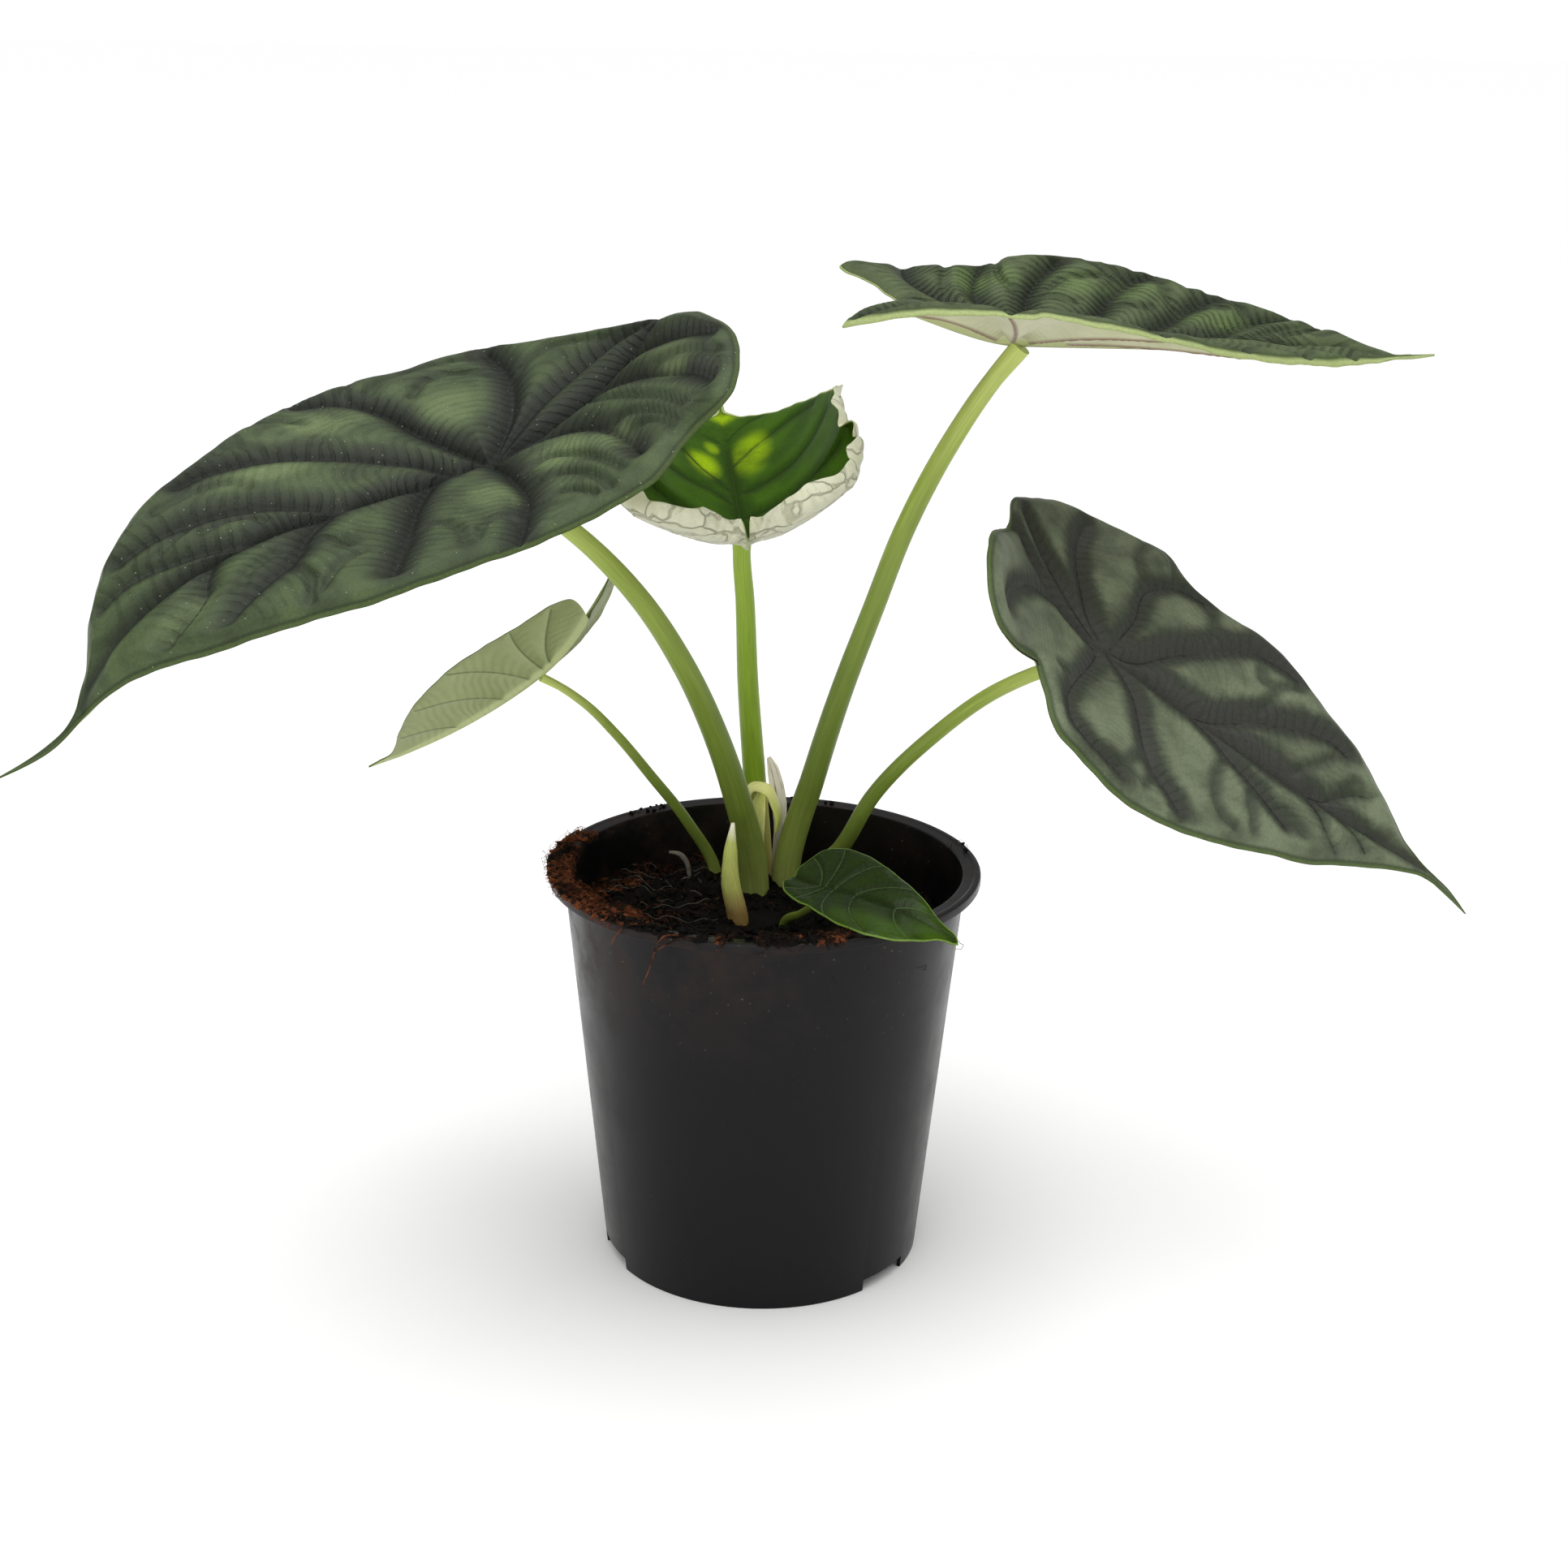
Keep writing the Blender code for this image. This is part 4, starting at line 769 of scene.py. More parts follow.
def leaf_face(name, skin):
    """Paint a blade's upper face from its distances to veins, folds and margin."""
    material, tree, shader = new_finish(name)
    where = add(tree, "ShaderNodeTexCoord").outputs["Object"]
    near = {label: add(tree, "ShaderNodeAttribute", attribute_name=label).outputs["Fac"]
            for label in ("vein_mm", "band_mm", "fold_mm", "edge_mm", "along_mm", "painted_glow", "strip")}
    cloud = add(tree, "ShaderNodeTexNoise", {"Vector": where, "Scale": BLOTCHES, "Detail": 5.0,
                                             "Roughness": 0.62}).outputs["Fac"]
    grain = add(tree, "ShaderNodeTexNoise", {"Vector": where, "Scale": SKIN_GRAIN, "Detail": 3.0,
                                             "Roughness": 0.7}).outputs["Fac"]
    pale, tissue = pad_colours(tree, skin, where, near, cloud)
    rib = fine_ribs(tree, skin, near, cloud, pale)
    # The rib grooves darken the colour: fine veinlets, and painted shade in the grooves
    tint = add(tree, "ShaderNodeMapRange", {"Value": rib, "To Min": 1.0 + 0.06 * skin.ribs,
                                            "To Max": 1.0 - 0.30 * skin.ribs})
    dust = add(tree, "ShaderNodeMapRange", {"Value": grain, "From Min": 0.3, "From Max": 0.7,
                                            "To Min": 0.84, "To Max": 1.16})
    tint = add(tree, "ShaderNodeMath", {0: tint, 1: dust}, operation="MULTIPLY")
    shade = add(tree, "ShaderNodeVectorMath", {0: tissue, "Scale": tint}, operation="SCALE")
    speck = add(tree, "ShaderNodeTexVoronoi", {"Vector": where, "Scale": WATER_SPECKS})
    speck = add(tree, "ShaderNodeMapRange", {"Value": speck, "From Min": 0.04,
                                             "From Max": 0.08, "To Min": skin.specks, "To Max": 0.0})
    shade = add(tree, "ShaderNodeMix", {"Factor": speck, 6: shade, 7: linear("#b9bda6")}, data_type="RGBA")
    raised = add(tree, "ShaderNodeMath", {0: 1.0, 1: rib}, operation="SUBTRACT")
    relief = add(tree, "ShaderNodeMath", {0: grain, 1: 0.3, 2: raised}, operation="MULTIPLY_ADD")
    bump = add(tree, "ShaderNodeBump", {"Height": relief, "Strength": min(1.0, 0.6 * skin.ribs),
                                        "Distance": 0.0004})
    gloss = add(tree, "ShaderNodeMapRange", {"Value": cloud, "To Min": skin.roughness - 0.08,
                                             "To Max": skin.roughness + 0.12})
    fill(tree, shader, {"Base Color": shade.outputs[2], "Normal": bump, "Roughness": gloss,
                        "Specular IOR Level": skin.shine})
    return material


def pad_colours(tree, skin, where, near, cloud):
    """Give how pale each point is and its colour.

    The colours lie over each other: flanks and middles of the pads, brighter patches of painted light, dark
    bands, the veins' thin lines, the green strip of the margin and its rim.
    """
    shift = add(tree, "ShaderNodeMath", {0: cloud, 1: skin.patchy, 2: -0.5 * skin.patchy},
                operation="MULTIPLY_ADD").outputs[0]
    loose_band = add(tree, "ShaderNodeMath", {0: near["band_mm"], 1: shift}, operation="ADD")
    loose_fold = add(tree, "ShaderNodeMath", {0: shift, 1: 0.4, 2: near["fold_mm"]}, operation="MULTIPLY_ADD")
    pale = add(tree, "ShaderNodeMapRange", {"Value": loose_band, "From Min": skin.middle_start,
                                            "From Max": skin.middle_full}, interpolation_type="SMOOTHSTEP")
    # How strongly the patches of painted light show
    painted_glow_share = add(tree, "ShaderNodeMapRange", {"Value": near["painted_glow"]}, interpolation_type="SMOOTHSTEP")
    open_fold = add(tree, "ShaderNodeMapRange",
                    {"Value": loose_fold, "From Min": 0.2 * skin.fold_width,
                     "From Max": skin.fold_width * 1.5, "To Min": 1 - skin.fold_share, "To Max": 1.0},
                    interpolation_type="SMOOTHSTEP")
    wide = add(tree, "ShaderNodeTexNoise", {"Vector": where, "Scale": MOTTLING, "Detail": 3.0})
    mottled = add(tree, "ShaderNodeMapRange", {"Value": wide, "From Min": 0.32,
                                               "From Max": 0.62, "To Min": 0.35, "To Max": 1.0})
    for factor in (open_fold, mottled):
        pale = add(tree, "ShaderNodeMath", {0: pale, 1: factor}, operation="MULTIPLY")
        painted_glow_share = add(tree, "ShaderNodeMath", {0: painted_glow_share, 1: factor}, operation="MULTIPLY")
    near_band = add(tree, "ShaderNodeMath", {0: shift, 1: 0.3, 2: near["band_mm"]}, operation="MULTIPLY_ADD")
    banded = add(tree, "ShaderNodeMapRange", {"Value": near_band, "From Min": -skin.band_blur,
                                              "From Max": skin.band_blur, "To Min": 1.0, "To Max": 0.0},
                 interpolation_type="SMOOTHSTEP")
    line = add(tree, "ShaderNodeMapRange", {"Value": near["vein_mm"], "From Min": 0.5 * skin.vein_width,
                                            "From Max": 1.5 * skin.vein_width, "To Min": 1.0, "To Max": 0.0})
    border = add(tree, "ShaderNodeMapRange", {"Value": near["strip"], "From Max": 0.6, "To Max": 0.85},
                 interpolation_type="SMOOTHSTEP")
    rim = add(tree, "ShaderNodeMapRange", {"Value": near["strip"], "From Min": 0.45, "From Max": 0.75,
                                           "To Max": 0.9})
    tissue = add(tree, "ShaderNodeMix", {"Factor": pale, 6: linear(skin.flank),
                                         7: linear(skin.middle)}, data_type="RGBA")
    # The first layer is the painted light of the brighter patches
    for share, colour in ((painted_glow_share, skin.painted_glow), (banded, skin.band), (line, skin.vein), (border, skin.strip),
                          (rim, skin.rim)):
        tissue = add(tree, "ShaderNodeMix", {"Factor": share, 6: tissue.outputs[2],
                                             7: linear(colour)}, data_type="RGBA")
    return pale.outputs[0], tissue.outputs[2]


def fine_ribs(tree, skin, near, cloud, pale):
    """Draw the fine ribs as thin wavering grooves, strongest on the flanks of the pads. The mask also darkens
    the colour, partly as painted shade in the grooves.
    """
    flow = add(tree, "ShaderNodeCombineXYZ", {"X": near["along_mm"], "Y": near["vein_mm"]})
    ribs = add(tree, "ShaderNodeTexWave", {"Vector": flow, "Scale": WAVE_TURN / skin.rib_gap,
                                           "Distortion": 3.5, "Detail": 2.0, "Detail Scale": 0.2})
    rib = add(tree, "ShaderNodeMapRange", {"Value": ribs.outputs["Fac"], "From Max": 0.5, "To Min": 1.0,
                                           "To Max": 0.0}, interpolation_type="SMOOTHSTEP")
    flank = add(tree, "ShaderNodeMapRange", {"Value": pale, "To Min": 1.0, "To Max": 0.5})
    strong = add(tree, "ShaderNodeMapRange", {"Value": cloud, "From Min": 0.35, "From Max": 0.55,
                                              "To Min": 0.25, "To Max": 1.0})
    inner = add(tree, "ShaderNodeMapRange", {"Value": near["edge_mm"], "From Min": 1.0, "From Max": 3.5})
    for factor in (flank, strong, inner):
        rib = add(tree, "ShaderNodeMath", {0: rib, 1: factor}, operation="MULTIPLY")
    return rib.outputs[0]


def pale_underside():
    """Alocasia blade, lower face: matt cream-green tissue with maroon veins."""
    return under_face("alocasia_blade_underside", "#d0cfb2", "#a9ab80", "#67392f", "#a9b07a", 0.65)


def crinkled_underside():
    """Alocasia blade that is still opening, lower face: wrinkled and cream-white, with maroon veins and
    painted shade darkening its creases.
    """
    return under_face("opening_blade_underside", "#c9cab0", "#afae94", "#6a4438", "#a9b07a", 0.45, 1.0)


def sage_underside():
    """Young alocasia blade, lower face: matt sage green with darker fine veins."""
    return under_face("young_blade_underside", "#98a071", "#7f8a58", "#4e5c33", "#aab37d", 0.30)


def under_face(name, light, dark, veins, midrib, vein_width, crinkle=0.0):
    """Paint a blade's lower face, from smooth at 0 to crumpled at 1, with the creases of crumpled tissue
    darkened as painted shade.
    """
    material, tree, shader = new_finish(name)
    where = add(tree, "ShaderNodeTexCoord").outputs["Object"]
    vein, fold, rib, along = (add(tree, "ShaderNodeAttribute", attribute_name=label).outputs["Fac"]
                              for label in ("vein_mm", "fold_mm", "rib_mm", "along_mm"))
    cloud = add(tree, "ShaderNodeTexNoise", {"Vector": where, "Scale": UNDER_CLOUDS, "Detail": 4.0})
    # The darker colour follows clouds on smooth tissue, and the creases on crumpled tissue as painted shade
    crumpled = add(tree, "ShaderNodeMix", {"Factor": crinkle, 2: cloud,
                                           3: crease_lines(tree, where)}, data_type="FLOAT")
    fine = add(tree, "ShaderNodeMapRange", {"Value": fold, "From Min": 0.15, "From Max": 0.6, "To Min": 0.25,
                                            "To Max": 0.0})
    main = add(tree, "ShaderNodeMapRange", {"Value": vein, "From Min": 0.5 * vein_width,
                                            "From Max": 1.6 * vein_width, "To Min": 0.8, "To Max": 0.0})
    middle = add(tree, "ShaderNodeMapRange", {"Value": rib, "From Min": 1.0, "From Max": 1.7, "To Min": 0.9,
                                              "To Max": 0.0})
    tissue = add(tree, "ShaderNodeMix", {"Factor": crumpled, 6: linear(light), 7: linear(dark)},
                 data_type="RGBA")
    for share, colour in ((fine, veins), (main, veins), (middle, midrib)):
        tissue = add(tree, "ShaderNodeMix", {"Factor": share, 6: tissue.outputs[2],
                                             7: linear(colour)}, data_type="RGBA")
    flow = add(tree, "ShaderNodeCombineXYZ", {"X": along, "Y": vein})
    ribs = add(tree, "ShaderNodeTexWave", {"Vector": flow, "Scale": WAVE_TURN / UNDER_RIB_GAP,
                                           "Distortion": 7.0, "Detail": 2.0, "Detail Scale": 0.3})
    relief = add(tree, "ShaderNodeMath", {0: ribs.outputs["Fac"], 1: 1.0 - 0.85 * crinkle},
                 operation="MULTIPLY")
    for height, share in ((cloud.outputs["Fac"], 0.8), (crumpled.outputs[0], -0.35 * crinkle)):
        relief = add(tree, "ShaderNodeMath", {0: height, 1: share, 2: relief}, operation="MULTIPLY_ADD")
    bump = add(tree, "ShaderNodeBump", {"Height": relief, "Strength": 0.35 + 0.65 * crinkle,
                                        "Distance": 0.0003 + 0.0012 * crinkle})
    fill(tree, shader, {"Base Color": tissue.outputs[2], "Normal": bump, "Roughness": 0.55})
    return material


def crease_lines(tree, where):
    """Draw the creases between the facets of crumpled tissue, 1 on a crease and 0 beside it."""
    bend = add(tree, "ShaderNodeTexNoise", {"Vector": where, "Scale": CREASE_BENDS, "Detail": 2.0})
    bend = add(tree, "ShaderNodeVectorMath", {0: bend.outputs["Color"], "Scale": CREASE_SHIFT},
               operation="SCALE")
    bent = add(tree, "ShaderNodeVectorMath", {0: where, 1: CREASE_STRETCH, 2: bend}, operation="MULTIPLY_ADD")
    facets = add(tree, "ShaderNodeTexVoronoi", {"Vector": bent, "Scale": CREASE_CELLS},
                 feature="DISTANCE_TO_EDGE")
    crease = add(tree, "ShaderNodeMapRange", {"Value": facets, "From Max": 0.06,
                                              "To Min": 1.0, "To Max": 0.0}, interpolation_type="SMOOTHSTEP")
    return crease.outputs[0]


def stalk_skin():
    """Alocasia stalk: smooth satin skin, olive low down, yellow-green at the top, finely streaked, with its
    foot painted paler as painted light.
    """
    # The two lowest stops are painted light: the foot is paler than the olive above it
    return stem_face("alocasia_stalk_skin", (("#a0a860", 0.0), ("#8a994a", 0.12), ("#697b30", 0.22),
                                             ("#6c8030", 0.42), ("#8a9c44", 0.75), ("#b8c46c", 1.0)), 0.38)


def back_stalk_skin():
    """Stalk of the back leaf: cream at its wrapped foot, then brighter green with light coming through."""
    return stem_face("backlit_stalk_skin", (("#b4b45c", 0.0), ("#d2d080", 0.25), ("#cfcf78", 0.33),
                                            ("#83a02a", 0.37), ("#86a42c", 0.7), ("#93ad40", 1.0)), 0.38)


def spear_skin():
    """Unopened spear: smooth waxy cream skin that greens towards its back."""
    return stem_face("alocasia_spear_skin", (("#9a7f4c", 0.3), ("#b9a866", 0.4), ("#c6cc6e", 0.5),
                                             ("#cbd274", 0.65), ("#c4cc6c", 0.85), ("#fbf7dc", 0.98)), 0.34)


def sheath_skin():
    """Fresh leaf base: smooth waxy cream tissue with a little green."""
    return stem_face("alocasia_leaf_base", (("#b8b860", 0.0), ("#e0df84", 0.3), ("#f6f5b0", 0.55),
                                            ("#f0f09c", 0.75), ("#ced668", 1.0)), 0.36)


def stem_face(name, stops, roughness):
    """Paint a stem from its foot to its top, with fine lengthwise streaks."""
    material, tree, shader = new_finish(name)
    where = add(tree, "ShaderNodeTexCoord").outputs["Object"]
    along, around = (add(tree, "ShaderNodeAttribute", attribute_name=label).outputs["Fac"]
                     for label in ("along", "around"))
    patch = add(tree, "ShaderNodeTexNoise", {"Vector": where, "Scale": STEM_BLUSH, "Detail": 3.0})
    moved = add(tree, "ShaderNodeMath", {0: patch, 1: 0.06, 2: along}, operation="MULTIPLY_ADD")
    moved = add(tree, "ShaderNodeMath", {0: moved, 1: 0.03}, operation="SUBTRACT")
    ramp = add(tree, "ShaderNodeValToRGB", {"Fac": moved})
    set_stops(ramp, [(at, linear(colour)) for colour, at in stops])
    streak = streaks(tree, around, along, STEM_STREAKS, {"Detail": 3.0, "Roughness": 0.6})
    tint = add(tree, "ShaderNodeMapRange", {"Value": streak, "From Min": 0.3, "From Max": 0.7,
                                            "To Min": 0.84, "To Max": 1.14})
    shade = add(tree, "ShaderNodeVectorMath", {0: ramp.outputs["Color"], "Scale": tint}, operation="SCALE")
    bump = add(tree, "ShaderNodeBump", {"Height": streak, "Strength": 0.25, "Distance": 0.0002})
    fill(tree, shader, {"Base Color": shade, "Normal": bump, "Roughness": roughness,
                        "Specular IOR Level": STEM_SHINE})
    return material


def set_stops(ramp, stops):
    """Give a colour ramp its stops, each a place and a linear colour."""
    elements = ramp.color_ramp.elements
    elements.remove(elements[-1])
    for number, (at, colour) in enumerate(stops):
        stop = elements[0] if number == 0 else elements.new(at)
        stop.position = at
        stop.color = colour


def streaks(tree, around, along, cells, detail):
    """Draw uneven lengthwise streaks, with so many cells of noise around a stem and along it."""
    angle = add(tree, "ShaderNodeMath", {0: around, 1: cells[0]}, operation="MULTIPLY")
    length = add(tree, "ShaderNodeMath", {0: along, 1: cells[1]}, operation="MULTIPLY")
    lie = add(tree, "ShaderNodeCombineXYZ", {"X": angle, "Y": length})
    noise = add(tree, "ShaderNodeTexNoise", {"Vector": lie, "Scale": 1.0, **detail})
    return noise.outputs["Fac"]


def dry_sheath_skin():
    """Dry papery leaf base: bleached straw colour with thin red-brown veins, matt and wrinkled."""
    material, tree, shader = new_finish("dry_leaf_base")
    around, along = (add(tree, "ShaderNodeAttribute", attribute_name=label).outputs["Fac"]
                     for label in ("around", "along"))
    streak = streaks(tree, around, along, DRY_STREAKS, {"Detail": 4.0})
    veins = add(tree, "ShaderNodeMapRange", {"Value": streak, "From Min": 0.56, "From Max": 0.64,
                                             "To Min": 0.0, "To Max": 0.75})
    tissue = add(tree, "ShaderNodeMix", {"Factor": veins, 6: linear("#efe9d4"),
                                         7: linear("#7a4f3c")}, data_type="RGBA")
    foot = add(tree, "ShaderNodeMapRange", {"Value": along, "From Min": 0.2, "From Max": 0.55, "To Min": 0.7,
                                            "To Max": 0.0})
    tissue = add(tree, "ShaderNodeMix", {"Factor": foot, 6: tissue.outputs[2],
                                         7: linear("#8a6a48")}, data_type="RGBA")
    bump = add(tree, "ShaderNodeBump", {"Height": streak, "Strength": 0.7, "Distance": 0.0004})
    fill(tree, shader, {"Base Color": tissue.outputs[2], "Normal": bump, "Roughness": 0.75})
    return material


def pot_plastic():
    """Recycled polypropylene, vacuum formed: near-black satin skin, with peat dust dried on below the rim and
    pale specks painted there as glints of water drops.
    """
    material, tree, shader = new_finish("recycled_polypropylene")
    where = add(tree, "ShaderNodeTexCoord").outputs["Object"]
    split = add(tree, "ShaderNodeSeparateXYZ", {0: where})
    fine = add(tree, "ShaderNodeTexNoise", {"Vector": where, "Scale": POT_GRAIN, "Detail": 4.0})
    smear = add(tree, "ShaderNodeTexNoise", {"Vector": where, "Scale": POT_SMEARS, "Detail": 6.0,
                                             "Roughness": 0.65})
    high = add(tree, "ShaderNodeMapRange", {"Value": split.outputs["Z"], "From Min": 0.070, "From Max": 0.112,
                                            "To Min": 0.0, "To Max": 1.0})
    left = add(tree, "ShaderNodeMapRange", {"Value": split.outputs["X"], "From Min": -0.055, "From Max": 0.02,
                                            "To Min": 1.0, "To Max": 0.25})
    dirty = add(tree, "ShaderNodeMath", {0: high, 1: left}, operation="MULTIPLY")
    smears = add(tree, "ShaderNodeMapRange", {"Value": smear, "From Min": 0.45,
                                              "From Max": 0.75, "To Min": 0.0, "To Max": 0.8})
    dirty = add(tree, "ShaderNodeMath", {0: dirty, 1: smears}, operation="MULTIPLY")
    tissue = add(tree, "ShaderNodeMix", {"Factor": dirty, 6: linear("#0d0c0e"),
                                         7: linear("#3d2c22")}, data_type="RGBA")
    # Pale specks where the peat smears lie, painted as glints of water drops
    painted_glints = add(tree, "ShaderNodeTexVoronoi", {"Vector": where, "Scale": POT_GLINTS})
    painted_glints = add(tree, "ShaderNodeMapRange", {"Value": painted_glints, "From Min": 0.05,
                                             "From Max": 0.11, "To Min": 0.9, "To Max": 0.0})
    painted_glints = add(tree, "ShaderNodeMath", {0: painted_glints, 1: smears}, operation="MULTIPLY")
    painted_glints = add(tree, "ShaderNodeMath", {0: painted_glints, 1: high}, operation="MULTIPLY")
    tissue = add(tree, "ShaderNodeMix", {"Factor": painted_glints, 6: tissue.outputs[2],
                                         7: linear("#8d8a84")}, data_type="RGBA")
    rough = add(tree, "ShaderNodeMapRange", {"Value": smear, "From Min": 0.3, "From Max": 0.7,
                                             "To Min": 0.26, "To Max": 0.40})
    rough = add(tree, "ShaderNodeMath", {0: dirty, 1: 0.5, 2: rough}, operation="MULTIPLY_ADD")
    bump = add(tree, "ShaderNodeBump", {"Height": fine, "Strength": 0.12, "Distance": 0.0001})
    fill(tree, shader, {"Base Color": tissue.outputs[2], "Roughness": rough, "Normal": bump,
                        "Specular IOR Level": POT_SHINE})
    return material


def peat_face(name, dark, light, share, roughness):
    """Paint loose organic matter in two colours mixed by clumps."""
    material, tree, shader = new_finish(name)
    where = add(tree, "ShaderNodeTexCoord").outputs["Object"]
    clumps = add(tree, "ShaderNodeTexNoise", {"Vector": where, "Scale": PEAT_CLUMPS, "Detail": 5.0,
                                              "Roughness": 0.7})
    grit = add(tree, "ShaderNodeTexNoise", {"Vector": where, "Scale": PEAT_GRIT, "Detail": 3.0,
                                            "Roughness": 0.8})
    split = add(tree, "ShaderNodeSeparateXYZ", {0: where})
    left = add(tree, "ShaderNodeMapRange", {"Value": split.outputs["X"], "From Min": -0.05, "From Max": 0.0,
                                            "To Min": 0.16, "To Max": 0.0})
    mixed = add(tree, "ShaderNodeMath", {0: clumps, 1: left}, operation="ADD")
    brown = add(tree, "ShaderNodeMapRange", {"Value": mixed, "From Min": 0.66 - share,
                                             "From Max": 0.80 - share})
    tissue = add(tree, "ShaderNodeMix", {"Factor": brown, 6: linear(dark), 7: linear(light)},
                 data_type="RGBA")
    bump = add(tree, "ShaderNodeBump", {"Height": grit, "Strength": 1.0, "Distance": 0.0006})
    fill(tree, shader, {"Base Color": tissue.outputs[2], "Normal": bump, "Roughness": roughness,
                        "Specular IOR Level": SOIL_SHINE})
    return material


def peat():
    """Moist peat: near-black fibrous matter that hardly shines."""
    return peat_face("moist_peat", "#0d0b09", "#2c1b12", 0.0, 0.8)


def coir():
    """Coconut coir: thin red-brown fibres, matt."""
    return peat_face("coir_fibre", "#1a0f0a", "#7c4629", 0.15, 0.7)


def root_hair():
    """Fine young roots: thin whitish threads with a faint shine."""
    return peat_face("root_threads", "#57534b", "#8f8a80", 0.2, 0.5)


def studio_floor():
    """Seamless white studio vinyl: plain, matt and evenly lit."""
    material, tree, shader = new_finish("studio_vinyl")
    fill(tree, shader, {"Base Color": linear("#fbfbfb"), "Roughness": 0.9})
    return material


def rise(top, start, full, value):
    """Ease from 0, where the value is start, to the top, where it is full."""
    part = np.clip((value - start) / (full - start), 0.0, 1.0)
    return top * part * part * (3 - 2 * part)


def midrib_x(leaf, part):
    """Turn a part of the front length, or of the lobe length if negative, to a distance from the joint."""
    return part * (leaf.length if part > 0 else leaf.lobe)


class Blade:
    """The flat pattern of one blade: its rows from the drip tip to the sinus, and its veins."""

    def __init__(self, sheet):
        leaf = sheet.leaf
        self.sheet = sheet
        self.leaf = leaf
        self.curves = {side: margin_curve(leaf, side) for side in (1, -1)}
        stops = [(leaf.length + leaf.drip, 0.0, 0.0)]
        start = TIP_BASE * leaf.length
        stops.append((leaf.length, self.arc_at(1, start), self.arc_at(-1, start)))
        for base, left_end, right_end in leaf.veins:
            stops.append((midrib_x(leaf, base), self.arc_at(1, midrib_x(leaf, left_end)),
                          self.arc_at(-1, midrib_x(leaf, right_end))))
        stops.append((-leaf.sinus * leaf.lobe, self.curves[1][1][-1], self.curves[-1][1][-1]))
        self.stops = np.array(stops)
        rows = [stops[0]]
        for pad, (before, after) in enumerate(zip(stops, stops[1:])):
            spread = max(abs(b - a) for a, b in zip(before, after))
            count = DRIP_STEPS if pad == 0 else max(6, math.ceil(spread / sheet.step))
            for step in range(1, count + 1):
                even = step / count
                t = even if pad == 0 else even - ROW_CROWDING * math.sin(2 * math.pi * even)
                rows.append([a + (b - a) * t for a, b in zip(before, after)])
        self.rows = np.array(rows)
        count = math.ceil(leaf.half_width * 1.15 / sheet.step)
        even = np.linspace(0.0, 1.0, count + 1)
        self.v = even - COLUMN_CROWDING * np.sin(2 * np.pi * even)

    def arc_at(self, side, x):
        """Give how far round the margin from the tip it first lies as far back as x."""
        curve, arc = self.curves[side]
        return arc[np.argmax(curve[:, 0] <= max(x, curve[:, 0].min()))]

    def row_curve(self, side, base, at, v):
        """Follow a row from its base on the midrib to its end on the margin."""
        curve, arc = self.curves[side]
        base = np.atleast_1d(base)[:, None]
        at = np.atleast_1d(at)
        end_x = np.interp(at, arc, curve[:, 0])[:, None]
        end_y = np.interp(at, arc, curve[:, 1])[:, None]
        bend_x = base + VEIN_BEND_ALONG * (end_x - base)
        bend_y = VEIN_BEND_OUT * end_y
        x = (1 - v)**2 * base + 2 * v * (1 - v) * bend_x + v**2 * end_x
        y = 2 * v * (1 - v) * bend_y + v**2 * end_y
        return x, y

    def veins(self, side):
        """Give one half's main veins. A half without its own has one at every row of the leaf's table."""
        own = [vein[1:] for vein in self.sheet.veins if vein[0] == side]
        if own:
            return own
        column = 1 if side > 0 else 2
        rows = [self.row_curve(side, stop[0], stop[column], ROW_VEIN_STEPS) for stop in self.stops[2:-1]]
        return [(PLAIN_BAND, PLAIN_BAND, np.stack(row, -1)[0]) for row in rows]

    def spine(self, side):
        """Give the midrib's dark band, in front of the joint and behind it."""
        front, back = self.sheet.spine[0 if side > 0 else 1]
        leaf = self.leaf
        return [(front, front, ((0.0, 0.0), (0.5 * leaf.length, 0.0), (leaf.length, 0.0))),
                (back, back, ((0.0, 0.0), (-0.5 * leaf.lobe, 0.0), (-leaf.sinus * leaf.lobe, 0.0)))]

    def half(self, side):
        """Give one half's flat points and what each point is near, in millimetres."""
        base, left_at, right_at = self.rows.T
        x, y = self.row_curve(side, base, left_at if side > 0 else right_at, self.v)
        flat = np.stack([x, y], axis=-1)
        vein, band, along = measure(flat, self.veins(side))
        spine_band = measure(flat, self.spine(side))[1]
        folds = [(0.0, 0.0, course) for at, course in self.sheet.folds if at == side] or [(0, 0, NO_COURSE)]
        margin, arc = self.curves[side]
        fine = np.arange(0.0, arc[-1], MARGIN_GAP)
        edge = distance(flat, np.stack([np.interp(fine, arc, margin[:, axis]) for axis in (0, 1)], -1))
        edge[:, -1] = 0.0
        length = self.leaf.length
        band = np.minimum(band, spine_band) + rise(TIP_PALER, 0.5 * length, 0.9 * length, x)
        # Patches of painted light: sheen on the pads, light coming through the blade and a blade's lit half
        painted_glow = np.zeros_like(x)
        for at, middle_x, middle_y, reach_x, reach_y in self.sheet.painted_glow:
            if at == side:
                off = np.hypot((x - middle_x) / reach_x, (y - middle_y) / reach_y)
                painted_glow = np.maximum(painted_glow, np.clip(PAINTED_GLOW_SOFTNESS - off, 0.0, 1.0))
        strip = np.clip(1.0 - edge / self.sheet.strips[0 if side > 0 else 1], 0.0, 1.0)
        near = dict(vein_mm=vein, band_mm=band, fold_mm=measure(flat, folds)[0], along_mm=along,
                    edge_mm=edge, rib_mm=y, painted_glow=painted_glow, strip=strip)
        return x, y, near


